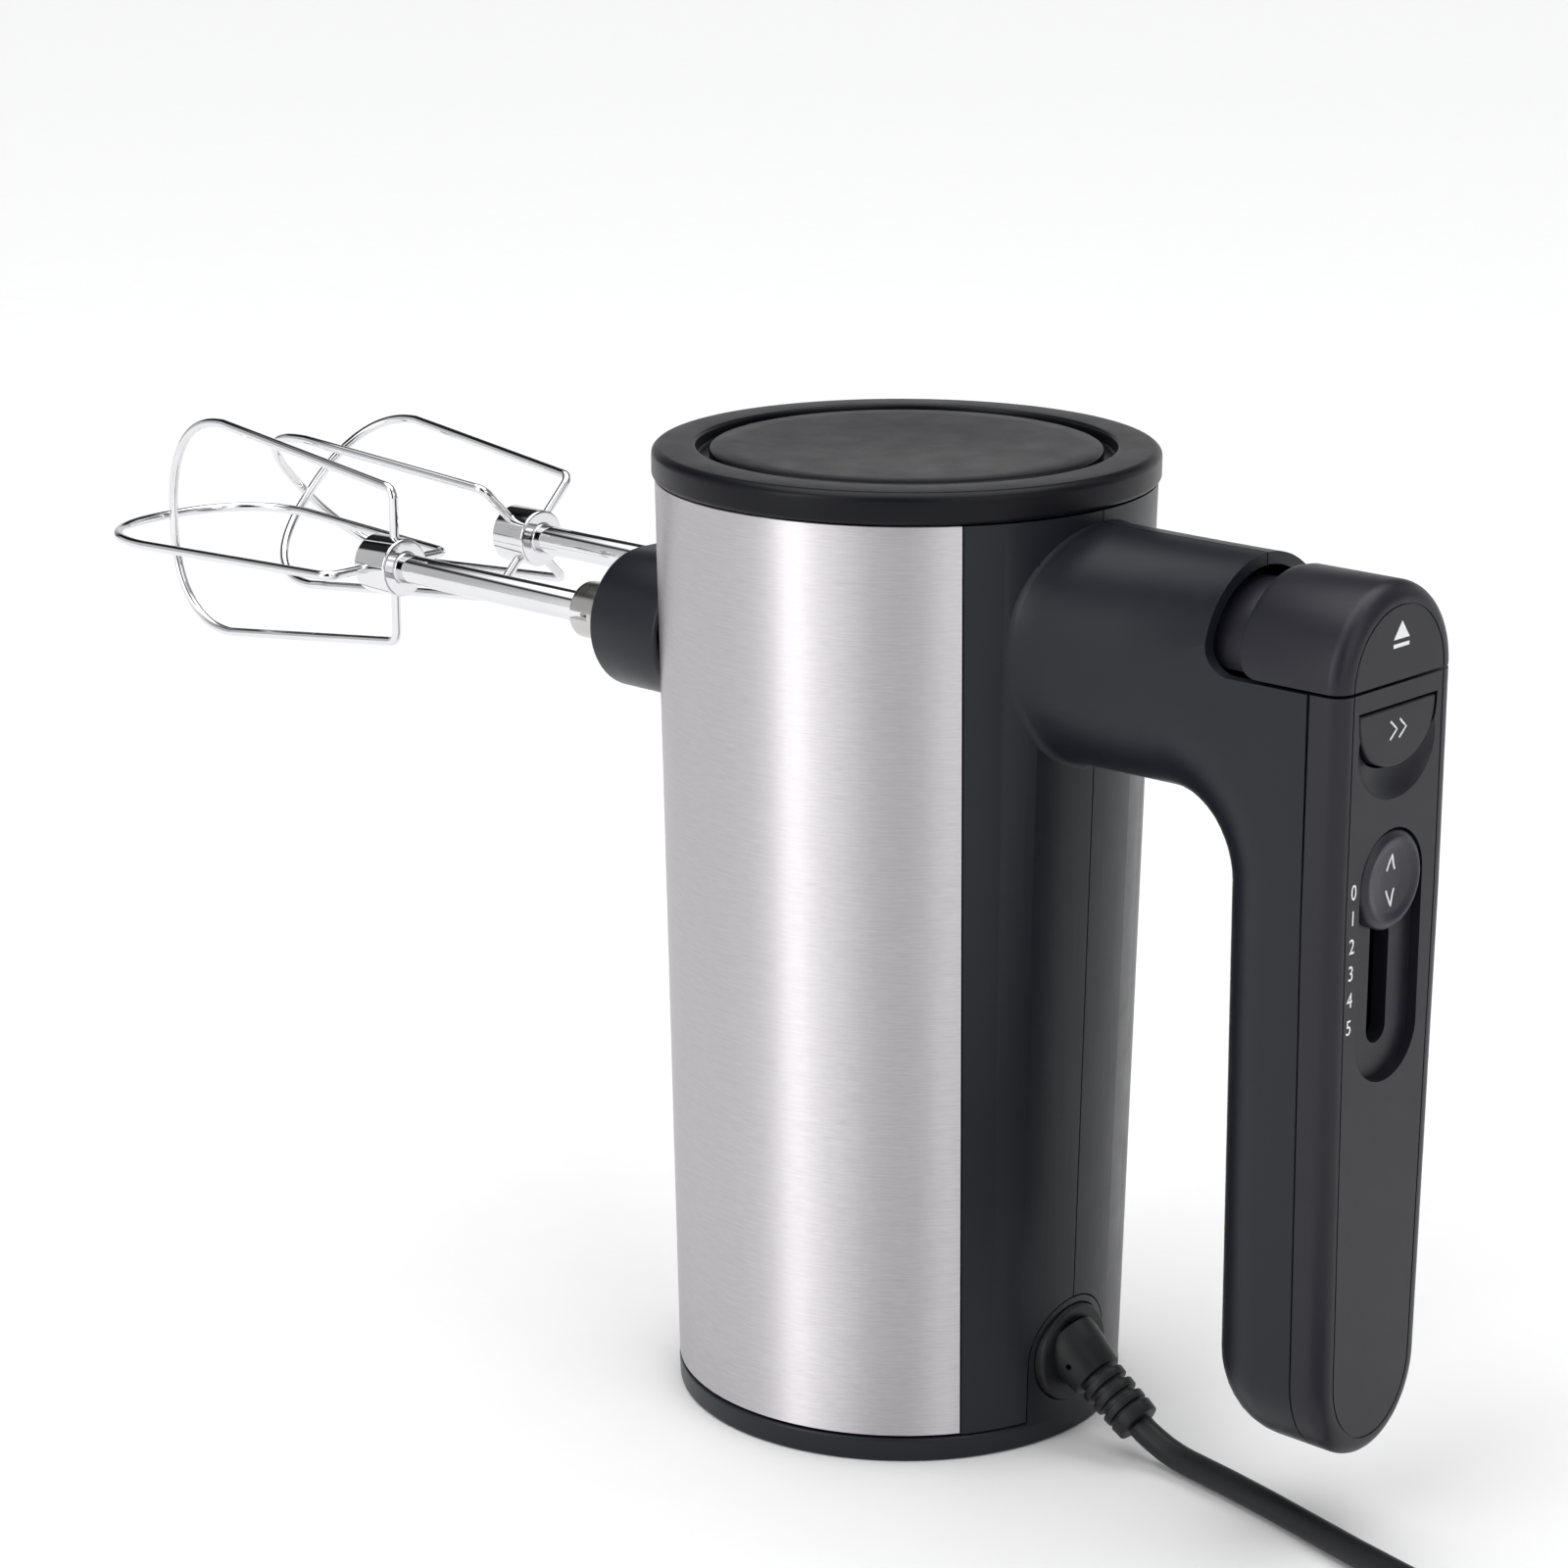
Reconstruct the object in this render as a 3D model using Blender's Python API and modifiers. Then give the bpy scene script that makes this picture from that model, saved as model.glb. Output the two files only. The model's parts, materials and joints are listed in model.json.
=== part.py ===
"""Hand mixer with a cylindrical steel body, a hooked handle and two wire beaters.

Metres, +Z up. The origin is the centre of the base's underside, the beaters point along -Y
and the handle is on +Y. Left and right are the user's, who looks along -Y: left is +X.
"""

import math

import bmesh
import bpy
from mathutils import Matrix, Vector

# Body: a slightly tapered upright cylinder.
BASE_H = 0.0053
CAP_BOTTOM_Z = 0.1862
CAP_R = 0.0490
BODY_BOTTOM_R = 0.0447
BODY_TOP_R = 0.0484
SLEEVE_T = 0.0006
WALL_T = 0.0023
GAP = 0.0003
BODY_STEPS = 48
VENTS = 8
STRIP_TOP_HALF_W = 0.0286
STRIP_BOTTOM_HALF_W = 0.0243

# Arm, elbow and grip.
ARM_TOP_Z = 0.1836
ARM_BOTTOM_Z = 0.1378
ARM_ROOT_HALF_W = 0.0202
ELBOW_Y = 0.071
ELBOW_Z = 0.1238
ELBOW_R = 0.014
GRIP_FRONT_Y = ELBOW_Y + ELBOW_R
GRIP_TOP_HALF_W = 0.0175
GRIP_END_Z = 0.035
GRIP_END_HALF_W = 0.0157
GRIP_END_DROP = 0.0175
GRIP_FRONT_DEPTH = 0.015
COVER_SEAM_Y = 0.108
PANEL_Y = 0.115
PANEL_EDGE_R = 0.004
HANDLE_WALL = 0.0024

# Eject button at the top rear corner of the handle.
NOTCH_Y = 0.0858
NOTCH_Z = 0.1645
NOTCH_R = 0.0055
EJECT_AXIS_Z = 0.1651
EJECT_R = 0.0175
EJECT_NECK_R = 0.0140
EJECT_FULL_Y = 0.0930
EJECT_CORNER_R = 0.0038

# Controls on the handle's back.
TURBO_HALF_W = 0.0115
TURBO_TOP_Z = 0.1605
TURBO_BOTTOM_Z = 0.1495
KNOB_R = 0.0093
KNOB_Z = 0.1285
KNOB_TRAVEL = 0.025
TRACK_R = 0.0096
TRACK_FLOOR_Y = 0.1129
SLOT_HALF_W = 0.00295

# Beaters and their drive.
BEATER_X = 0.020
BEATER_Z = 0.1522
SHAFT_R = 0.0031
RUNNING_FIT = 0.00008
ROTOR_SHAFT_R = 0.0025
HUB_R = 0.0062
HUB_REAR_Y = -0.1225
HUB_LENGTH = 0.0095
WIRE_R = 0.0010
LOOP_CORNER_R = 0.0168
LOOP_WIDEST_R = 0.0234
LOOP_WIDEST_Y = -0.181
LOOP_TIP_Y = -0.1996
SPINDLE_R = 0.0058
SPINDLE_BORE_R = SHAFT_R + RUNNING_FIT
SPINDLE_REAR_R = 0.0050
CROSSBAR_Y = 0.0217
WHEEL_TEETH = 28
WHEEL_PITCH_R = 0.0144
WHEEL_TIP_R = 0.0152
WHEEL_ROOT_R = 0.0132
WHEEL_HALF_THICK = 0.0035
WORM_PITCH_R = 0.0056
WORM_TIP_R = 0.0066
WORM_ROOT_R = 0.0044
WORM_LEAD = 2 * 2 * math.pi * WHEEL_PITCH_R / WHEEL_TEETH
WORM_STEPS = 12
WORM_RINGS = 44
SPINDLE_FRONT_Y = -0.0673
SNOUT_FRONT_Y = -0.059
SNOUT_HALF_W = 0.0285
SNOUT_HALF_H = 0.0142
SNOUT_Z = 0.1513

# Mains lead.
GLAND_Z = 0.0173
GLAND_R = 0.0098
ARCH_HALF_W = 0.0113
CORD_R = 0.00265
COIL_CENTRE = (0.058, 0.178)
COIL_MEAN_R = 0.029
COIL_COLUMNS = 3
COIL_LAYERS = 2

COLLECTION = "hand_mixer"
CUTTERS = "cutters"

DARK = ("anthracite_plastic", (0.035, 0.038, 0.046), 0.42, 0.0)
DARKER = ("black_plastic", (0.020, 0.021, 0.026), 0.40, 0.0)
CONTROL = ("control_plastic", (0.050, 0.050, 0.062), 0.45, 0.0)
STEEL = ("brushed_steel", (0.60, 0.58, 0.58), 0.30, 1.0)
CHROME = ("chrome", (0.80, 0.80, 0.82), 0.07, 1.0)
MACHINED = ("machined_steel", (0.52, 0.52, 0.54), 0.30, 1.0)
LAMINATION = ("lamination_steel", (0.28, 0.28, 0.30), 0.50, 1.0)
COPPER = ("enamelled_copper", (0.55, 0.22, 0.09), 0.35, 1.0)
BRASS = ("brass", (0.66, 0.48, 0.20), 0.32, 1.0)
CARBON = ("carbon", (0.03, 0.03, 0.03), 0.70, 0.0)
NYLON = ("white_nylon", (0.75, 0.74, 0.70), 0.45, 0.0)
BOARD = ("circuit_board", (0.03, 0.16, 0.08), 0.50, 0.0)
RUBBER = ("cord_rubber", (0.018, 0.018, 0.021), 0.55, 0.0)
SPRING = ("spring_steel", (0.50, 0.50, 0.50), 0.28, 1.0)


def clear_scene():
    for obj in list(bpy.data.objects):
        bpy.data.objects.remove(obj, do_unlink=True)
    for name in (COLLECTION, CUTTERS):
        bpy.context.scene.collection.children.link(bpy.data.collections.new(name))


def material(look):
    name, colour, roughness, metallic = look
    found = bpy.data.materials.get(name)
    if found:
        return found
    made = bpy.data.materials.new(name)
    made.use_nodes = True
    shader = made.node_tree.nodes["Principled BSDF"]
    shader.inputs["Base Color"].default_value = (*colour, 1.0)
    shader.inputs["Roughness"].default_value = roughness
    shader.inputs["Metallic"].default_value = metallic
    return made


def add(obj, look):
    """Puts an object in the mixer's collection, or among the cutters when it has no look."""
    if look is None:
        bpy.data.collections[CUTTERS].objects.link(obj)
        obj.hide_render = True
        obj.display_type = "WIRE"
        return obj
    bpy.data.collections[COLLECTION].objects.link(obj)
    obj.data.materials.append(material(look))
    if obj.type == "MESH":
        obj.data.shade_smooth()
        obj.data.set_sharp_from_angle(angle=math.radians(35))
    return obj


def from_bmesh(name, bm, look):
    bmesh.ops.recalc_face_normals(bm, faces=bm.faces)
    mesh = bpy.data.meshes.new(name)
    bm.to_mesh(mesh)
    bm.free()
    return add(bpy.data.objects.new(name, mesh), look)


def box(name, low, high, look=None):
    bm = bmesh.new()
    size = [b - a for a, b in zip(low, high)]
    centre = [(a + b) / 2 for a, b in zip(low, high)]
    bmesh.ops.create_cube(bm, size=1.0, matrix=Matrix.Translation(centre) @ Matrix.Diagonal((*size, 1.0)))
    return from_bmesh(name, bm, look)


def cylinder(name, start, end, radius, look=None, sides=24):
    start, end = Vector(start), Vector(end)
    turn = (end - start).to_track_quat("Z", "Y").to_matrix().to_4x4()
    bm = bmesh.new()
    bmesh.ops.create_cone(
        bm,
        cap_ends=True,
        segments=sides,
        radius1=radius,
        radius2=radius,
        depth=(end - start).length,
        matrix=Matrix.Translation((start + end) / 2) @ turn,
    )
    return from_bmesh(name, bm, look)


def turned(name, profile, look=None, centre=(0, 0, 0), direction=(0, 0, 1), steps=32, ring=False, spin=0.0):
    """A turned solid. The profile is (radius, height) pairs that run down its outer side."""
    count = len(profile)
    edges = [(i, i + 1) for i in range(count - 1)]
    if ring:
        edges.append((count - 1, 0))
    mesh = bpy.data.meshes.new(name)
    mesh.from_pydata([(r * math.cos(spin), r * math.sin(spin), h) for r, h in profile], edges, [])
    obj = bpy.data.objects.new(name, mesh)
    obj.rotation_mode = "QUATERNION"
    obj.rotation_quaternion = Vector((0, 0, 1)).rotation_difference(Vector(direction))
    obj.location = centre
    screw = obj.modifiers.new("screw", "SCREW")
    screw.steps = steps
    screw.render_steps = steps
    screw.use_merge_vertices = True
    screw.merge_threshold = 0.00001
    return add(obj, look)


def as_mesh(obj, look):
    """Turns a curve into a welded mesh object of the same name and place."""
    bpy.context.view_layer.update()
    graph = bpy.context.evaluated_depsgraph_get()
    mesh = bpy.data.meshes.new_from_object(obj.evaluated_get(graph))
    matrix = obj.matrix_world.copy()
    name = obj.name
    bpy.data.objects.remove(obj, do_unlink=True)
    bm = bmesh.new()
    bm.from_mesh(mesh)
    bmesh.ops.remove_doubles(bm, verts=bm.verts, dist=0.000005)
    bmesh.ops.dissolve_limit(bm, angle_limit=0.001, verts=bm.verts, edges=bm.edges)
    bm.transform(matrix)
    bpy.data.meshes.remove(mesh)
    return from_bmesh(name, bm, look)


PLANES = {
    "XY": Matrix(((1, 0, 0, 0), (0, 1, 0, 0), (0, 0, 1, 0), (0, 0, 0, 1))),
    "XZ": Matrix(((1, 0, 0, 0), (0, 0, -1, 0), (0, 1, 0, 0), (0, 0, 0, 1))),
    "YZ": Matrix(((0, 0, 1, 0), (1, 0, 0, 0), (0, 1, 0, 0), (0, 0, 0, 1))),
}


def extruded(name, outline, low, high, plane, look=None):
    """A flat outline in one plane, extruded from low to high along the plane's normal."""
    curve = bpy.data.curves.new(name, "CURVE")
    curve.dimensions = "2D"
    curve.fill_mode = "BOTH"
    curve.extrude = abs(high - low) / 2
    spline = curve.splines.new("POLY")
    spline.points.add(len(outline) - 1)
    for point, (a, b) in zip(spline.points, outline):
        point.co = (a, b, 0, 1)
    spline.use_cyclic_u = True
    obj = bpy.data.objects.new(name, curve)
    bpy.data.collections[CUTTERS].objects.link(obj)
    normal = PLANES[plane].to_3x3() @ Vector((0, 0, 1))
    offset = normal * ((low + high) / 2) * sum(normal)
    obj.matrix_world = Matrix.Translation(offset) @ PLANES[plane]
    return as_mesh(obj, look)


def tube(name, points, radius, look, sides=2, closed=False):
    curve = bpy.data.curves.new(name, "CURVE")
    curve.dimensions = "3D"
    curve.bevel_depth = radius
    curve.bevel_resolution = sides
    curve.use_fill_caps = True
    spline = curve.splines.new("POLY")
    spline.points.add(len(points) - 1)
    for point, place in zip(spline.points, points):
        point.co = (*place, 1)
    spline.use_cyclic_u = closed
    return add(bpy.data.objects.new(name, curve), look)


def loft(name, rings, look=None):
    """Skins a row of rings with the same number of points and caps both ends."""
    bm = bmesh.new()
    loops = [[bm.verts.new(point) for point in ring] for ring in rings]
    for first, second in zip(loops, loops[1:]):
        for i in range(len(first)):
            j = (i + 1) % len(first)
            bm.faces.new((first[i], first[j], second[j], second[i]))
    bm.faces.new(loops[0])
    bm.faces.new(loops[-1])
    return from_bmesh(name, bm, look)


def boolean(obj, other, operation):
    modifier = obj.modifiers.new(operation.lower(), "BOOLEAN")
    modifier.operation = operation
    modifier.object = other
    return obj


def cut(obj, *others):
    for other in others:
        boolean(obj, other, "DIFFERENCE")
    return obj


def join(obj, *others):
    for other in others:
        boolean(obj, other, "UNION")
    return obj


def keep(obj, other):
    return boolean(obj, other, "INTERSECT")


def arc(centre, radius, start_deg, end_deg, steps):
    """Points along an arc, both ends included."""
    points = []
    for i in range(steps + 1):
        angle = math.radians(start_deg + (end_deg - start_deg) * i / steps)
        points.append((centre[0] + radius * math.cos(angle), centre[1] + radius * math.sin(angle)))
    return points


def body_radius(z):
    """Outer radius of the steel sleeve at a height."""
    share = (z - BASE_H) / (CAP_BOTTOM_Z - BASE_H)
    return BODY_BOTTOM_R + (BODY_TOP_R - BODY_BOTTOM_R) * share


def cone_ring(name, low, high, outer_inset, inner_inset, look=None):
    """A tapered ring between two insets from the sleeve's outer surface."""
    outer = [(body_radius(z) - outer_inset, z) for z in (high, low)]
    inner = [(body_radius(z) - inner_inset, z) for z in (low, high)]
    return turned(name, outer + inner, look, steps=BODY_STEPS, ring=True, spin=math.pi / BODY_STEPS)


def strip_outline(grow):
    """The plastic strip down the back of the body, seen along Y."""
    rise = 0.02
    slope = (STRIP_TOP_HALF_W - STRIP_BOTTOM_HALF_W) / (CAP_BOTTOM_Z - BASE_H)
    low_w = STRIP_BOTTOM_HALF_W - slope * rise + grow
    high_w = STRIP_TOP_HALF_W + slope * rise + grow
    low_z = BASE_H - rise
    high_z = CAP_BOTTOM_Z + rise
    return [(-low_w, low_z), (low_w, low_z), (high_w, high_z), (-high_w, high_z)]


def arch_outline(grow):
    """The base's tongue around the cord gland, seen along Y."""
    half_w = ARCH_HALF_W + grow
    low_z = 0.002
    return [(-half_w, low_z), (half_w, low_z)] + arc((0, GLAND_Z), half_w, 0, 180, 12)


def stadium(centre_z, half_w, half_h, steps=8):
    straight = half_w - half_h
    return (
        arc((straight, centre_z), half_h, -90, 90, steps)
        + arc((-straight, centre_z), half_h, 90, 270, steps)
    )


def gear_outline(teeth, root_r, tip_r, tooth_share=0.5):
    points = []
    for i in range(teeth):
        for share, radius in ((-0.5, tip_r), (0.5, tip_r), (0.6, root_r), (1.4, root_r)):
            turn = 2 * math.pi * (i + share * tooth_share) / teeth
            if radius == root_r:
                turn = 2 * math.pi * (i + tooth_share * 0.5 + (share - 0.5) * (1 - tooth_share)) / teeth
            points.append((radius * math.cos(turn), radius * math.sin(turn)))
    return points


# ---------------------------------------------------------------- handle shape


def grip_half_width(z):
    share = (z - GRIP_END_Z) / (ELBOW_Z - GRIP_END_Z)
    return GRIP_END_HALF_W + (GRIP_TOP_HALF_W - GRIP_END_HALF_W) * min(max(share, 0), 1)


def section(foot, direction, half_w, inner_b, outer_b, length, wall, steps=7):
    """One ring of the handle in a plane that holds X and the direction.

    The foot is where the plane meets the handle's inner side, as (y, z). Both ends are half
    ellipses of depths inner_b and outer_b, with straight sides between them.
    """
    half_w -= wall
    inner_b -= wall
    outer_b = max(outer_b - wall, 0.0)
    near = inner_b + wall
    far = length - wall - outer_b
    points = []
    for i in range(steps + 1):
        angle = math.pi * i / steps
        points.append((-half_w * math.cos(angle), near - inner_b * math.sin(angle)))
    for i in range(steps + 1):
        angle = math.pi * i / steps
        points.append((half_w * math.cos(angle), far + outer_b * math.sin(angle)))
    return [(x, foot[0] + direction[0] * q, foot[1] + direction[1] * q) for x, q in points]


def arm_rings(wall):
    """Rings of the arm from inside the body to the elbow, with a small flare at the body."""
    top_b = 0.0185
    rings = []
    flare = ((0.0350, 0.0016), (0.0470, 0.0016), (0.0479, 0.0005), (0.0492, 0.0))
    rows = [(y, ARM_ROOT_HALF_W, extra) for y, extra in flare]
    rows += [(0.060, 0.0191, 0.0), (ELBOW_Y, 0.0182, 0.0)]
    for y, half_w, extra in rows:
        extra = 0.0 if wall else extra
        bottom = ARM_BOTTOM_Z - extra
        length = ARM_TOP_Z + extra - bottom
        inner_b = 0.0225 + extra
        ring = section((y, bottom), (0, 1), half_w + extra, inner_b, top_b + extra, length, wall)
        if y < 0.055:
            bend = body_radius(BEATER_Z)
            ring = [(x, y0 - bend + math.sqrt(bend**2 - x**2), z) for x, y0, z in ring]
        rings.append(ring)
    return rings


def elbow_rings(wall):
    rings = []
    rear = PANEL_Y - ELBOW_Y - 0.002
    for degrees in (15, 30, 40, 50, 62, 76, 90):
        angle = math.radians(degrees)
        direction = (math.sin(angle), math.cos(angle))
        foot = (ELBOW_Y + ELBOW_R * direction[0], ELBOW_Z + ELBOW_R * direction[1])
        up = (ARM_TOP_Z - ELBOW_Z) / direction[1] if degrees < 90 else 1.0
        length = min(up, rear / direction[0]) - ELBOW_R
        share = degrees / 90
        inner_b = 0.0225 + (GRIP_FRONT_DEPTH - 0.0225) * share
        outer_b = 0.0185 * max(1 - degrees / 45, 0)
        half_w = 0.0182 + (GRIP_TOP_HALF_W - 0.0182) * share
        rings.append(section(foot, direction, half_w, inner_b, outer_b, length, wall))
    return rings


def grip_rings(wall):
    rings = []
    rear = PANEL_Y - 0.002
    for z in (0.080, GRIP_END_Z):
        length = rear - GRIP_FRONT_Y
        rings.append(
            section((GRIP_FRONT_Y, z), (1, 0), grip_half_width(z), GRIP_FRONT_DEPTH, 0, length, wall)
        )
    for degrees in (15, 30, 45, 60, 74, 86):
        across = math.cos(math.radians(degrees))
        z = GRIP_END_Z - (GRIP_END_DROP - wall) * math.sin(math.radians(degrees))
        half_w = (GRIP_END_HALF_W - wall) * across + wall
        depth = (GRIP_FRONT_DEPTH - wall) * across + wall
        front = GRIP_FRONT_Y + GRIP_FRONT_DEPTH - depth
        rings.append(section((front, z), (1, 0), half_w, depth, 0, rear - front, wall))
    return rings


def handle_solid(name, wall):
    return loft(name, arm_rings(wall) + elbow_rings(wall) + grip_rings(wall))


def cover_outline(grow, top_z):
    """The handle's back, seen along Y: tapered sides and a round lower end."""
    top_w = grip_half_width(top_z) + grow
    end_w = GRIP_END_HALF_W + grow
    drop = GRIP_END_DROP + grow
    low = []
    for i in range(13):
        angle = math.pi * i / 12
        low.append((-end_w * math.cos(angle), GRIP_END_Z - drop * math.sin(angle)))
    return low + [
        (GRIP_TOP_HALF_W + grow, ELBOW_Z),
        (top_w, top_z),
        (-top_w, top_z),
        (-GRIP_TOP_HALF_W - grow, ELBOW_Z),
    ]


# ------------------------------------------------------------------ body pieces


def make_top():
    turned(
        "top_cap",
        [
            (0, 0.1896), (0.0404, 0.1896), (0.0406, 0.1923), (0.0478, 0.1923),
            (CAP_R, 0.1911), (CAP_R, 0.1868), (CAP_R - 0.0006, CAP_BOTTOM_Z),
            (0.0446, CAP_BOTTOM_Z), (0.0446, 0.1815), (0.0430, 0.1815), (0.0430, 0.1874), (0, 0.1874),
        ],
        DARK,
        steps=BODY_STEPS,
    )
    turned(
        "top_disc",
        [
            (0, 0.1914), (0.0330, 0.1920), (0.0368, 0.1919), (0.0379, 0.1912),
            (0.0379, 0.1899), (0, 0.1899),
        ],
        DARKER,
        steps=BODY_STEPS,
    )


def make_base():
    base = turned(
        "base_cap",
        [
            (0, 0.0024), (0.0394, 0.0024), (0.0394, 0.0095), (0.0410, 0.0095), (0.0410, BASE_H - GAP),
            (0.0443, BASE_H - GAP), (0.0449, BASE_H - 0.0009), (0.0446, 0.0008), (0.0438, 0), (0, 0),
        ],
        DARK,
        steps=BODY_STEPS,
    )
    tongue = cone_ring("tongue", 0.0035, 0.029, 0.0, 0.0044)
    keep(tongue, extruded("tongue_outline", arch_outline(0.0), 0.03, 0.06, "XZ"))
    seat = [(0.0062, 0.0180), (0.0085, 0.0180), (0.0085, 0.0015), (0.0062, 0.0015)]
    join(base, tongue, turned("bearing_seat", seat, steps=32, ring=True))
    cut(base, cylinder("gland_hole", (0, 0.030, GLAND_Z), (0, 0.060, GLAND_Z), GLAND_R + GAP, sides=32))
    for i in range(VENTS):
        turn = Matrix.Rotation(2 * math.pi * (i + 0.5) / VENTS, 4, "Z")
        slot = box(f"vent_{i}", (0.016, -0.0015, -0.002), (0.030, 0.0015, 0.004))
        slot.data.transform(turn)
        cut(base, slot)


def make_sleeve():
    sleeve = cone_ring("steel_sleeve", BASE_H + GAP, CAP_BOTTOM_Z - GAP, 0, SLEEVE_T, STEEL)
    cut(sleeve, extruded("sleeve_gap", strip_outline(GAP), 0.02, 0.06, "XZ"))
    hole = extruded(
        "sleeve_hole", stadium(SNOUT_Z, SNOUT_HALF_W + GAP, SNOUT_HALF_H + GAP), -0.06, -0.02, "XZ"
    )
    cut(sleeve, hole)


def notch_outline():
    """Room for the eject button at the handle's top rear corner, seen along X."""
    corner = (NOTCH_Y + NOTCH_R, NOTCH_Z + NOTCH_R)
    round_part = arc(corner, NOTCH_R, 180, 270, 5)
    return round_part + [(0.130, NOTCH_Z), (0.130, 0.200), (NOTCH_Y, 0.200)]


SCREW_PLACES = ((0.098, 0.045), (0.0905, 0.1515), (0.058, 0.1470))
SCREW_HEAD_X = -0.0090


def make_housing():
    """Both halves: the tube under the sleeve, the back strip, the arm and the grip."""
    low, high = BASE_H, CAP_BOTTOM_Z - GAP
    seat = SLEEVE_T + GAP
    whole = cone_ring("housing_whole", low, high, seat, seat + WALL_T)
    strip = cone_ring("strip", low, high, 0.0, seat + WALL_T)
    keep(strip, extruded("strip_outline", strip_outline(0.0), 0.02, 0.06, "XZ"))
    join(whole, strip, handle_solid("handle_solid", 0.0))
    inside = turned(
        "body_inside",
        [
            (0, 0.2),
            (body_radius(0.2) - seat - WALL_T, 0.2),
            (body_radius(-0.01) - seat - WALL_T, -0.01),
            (0, -0.01),
        ],
        steps=BODY_STEPS,
        spin=math.pi / BODY_STEPS,
    )
    cut(whole, inside, handle_solid("handle_inside", HANDLE_WALL))
    ribs = box("spring_rib", (-0.03, 0.0475, 0.158), (0.03, 0.0495, 0.20))
    for i, (y, z) in enumerate(SCREW_PLACES):
        join(ribs, cylinder(f"boss_{i}", (-0.03, y, z), (0.03, y, z), 0.0042, sides=16))
    keep(ribs, handle_solid("rib_limit", HANDLE_WALL / 2))
    join(whole, ribs)
    cut(whole, box("rear_cut", (-0.03, COVER_SEAM_Y, 0.0), (0.03, 0.14, 0.20)))
    cut(whole, extruded("notch", notch_outline(), -0.03, 0.03, "YZ"))
    cut(whole, extruded("arch_cut", arch_outline(GAP), 0.03, 0.06, "XZ"))
    cut(
        whole,
        extruded("snout_cut", stadium(SNOUT_Z, SNOUT_HALF_W + GAP, SNOUT_HALF_H + GAP), -0.06, -0.02, "XZ"),
    )
    cut(whole, cylinder("rod_hole", (0, 0.045, 0.170), (0, 0.052, 0.170), 0.0031, sides=16))
    neck = cylinder(
        "neck_hole", (0, 0.078, EJECT_AXIS_Z), (0, 0.130, EJECT_AXIS_Z), EJECT_NECK_R + 0.0004, sides=32
    )
    cut(whole, neck)
    for i, (y, z) in enumerate(SCREW_PLACES):
        cut(whole, cylinder(f"screw_head_hole_{i}", (-0.03, y, z), (SCREW_HEAD_X, y, z), 0.0031, sides=16))
        cut(whole, cylinder(f"screw_hole_{i}", (-0.03, y, z), (0.0115, y, z), 0.0017, sides=12))
    bpy.context.view_layer.update()
    for name, side in (("housing_left", 1), ("housing_right", -1)):
        half = boolean_copy(whole, name)
        edges = sorted((side * GAP / 2, -side * 0.06))
        cut(half, box(name + "_other_side", (edges[0], -0.07, -0.02), (edges[1], 0.14, 0.22)))


def boolean_copy(whole, name):
    """A new object with the evaluated shape of another."""
    graph = bpy.context.evaluated_depsgraph_get()
    mesh = bpy.data.meshes.new_from_object(whole.evaluated_get(graph))
    return add(bpy.data.objects.new(name, mesh), DARK)


def make_screws():
    for i, (y, z) in enumerate(SCREW_PLACES):
        profile = [(0, 0), (0.0028, 0), (0.0028, -0.0018), (0.0014, -0.0019), (0.0014, -0.0175), (0, -0.0190)]
        head_x = SCREW_HEAD_X - 0.0021
        turned(f"housing_screw_{i + 1}", profile, MACHINED, (head_x, y, z), (-1, 0, 0), steps=12)


def make_rear_cover():
    back = extruded("handle_rear_cover", cover_outline(0.0, NOTCH_Z), COVER_SEAM_Y + GAP, PANEL_Y, "XZ", DARK)
    bevel = back.modifiers.new("edge", "BEVEL")
    bevel.width = PANEL_EDGE_R
    bevel.segments = 4
    bevel.limit_method = "WEIGHT"
    mark_rear_edges(back, COVER_SEAM_Y + GAP, PANEL_Y)
    inside = extruded("cover_inside", cover_outline(-0.0026, NOTCH_Z - 0.0026), 0.10, 0.1108, "XZ")
    cut(back, inside)
    join(back, extruded("track_floor", track_outline(0.0015), 0.1098, PANEL_Y - 0.001, "XZ"))
    cut(back, extruded("track", track_outline(0.0), TRACK_FLOOR_Y, 0.13, "XZ"))
    cut(back, extruded("slot", slot_outline(), 0.10, 0.13, "XZ"))
    cut(back, extruded("turbo_hole", turbo_outline(0.0005), 0.10, 0.13, "XZ"))
    cut(back, scoop())


def mark_rear_edges(obj, front_y, rear_y):
    """Weights the edges of the rear face, except the flat top edge, for the bevel."""
    bm = bmesh.new()
    bm.from_mesh(obj.data)
    layer = bm.edges.layers.float.new("bevel_weight_edge")
    for edge in bm.edges:
        ends = [vert.co for vert in edge.verts]
        at_rear = all(co.y > (front_y + rear_y) / 2 for co in ends)
        at_top = all(co.z > NOTCH_Z - 0.0001 for co in ends)
        if at_rear and not at_top and edge.calc_face_angle(0) > 0.5:
            edge[layer] = 1.0
    bm.to_mesh(obj.data)
    bm.free()


def track_outline(grow):
    radius = TRACK_R + grow
    top, bottom = KNOB_Z, 0.1004
    return arc((0, top), radius, 0, 180, 12) + arc((0, bottom), radius, 180, 360, 12)


def slot_outline():
    top, bottom = KNOB_Z + 0.0045, KNOB_Z - KNOB_TRAVEL - 0.0030
    return arc((0, top), SLOT_HALF_W, 0, 180, 6) + arc((0, bottom), SLOT_HALF_W, 180, 360, 6)


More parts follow.
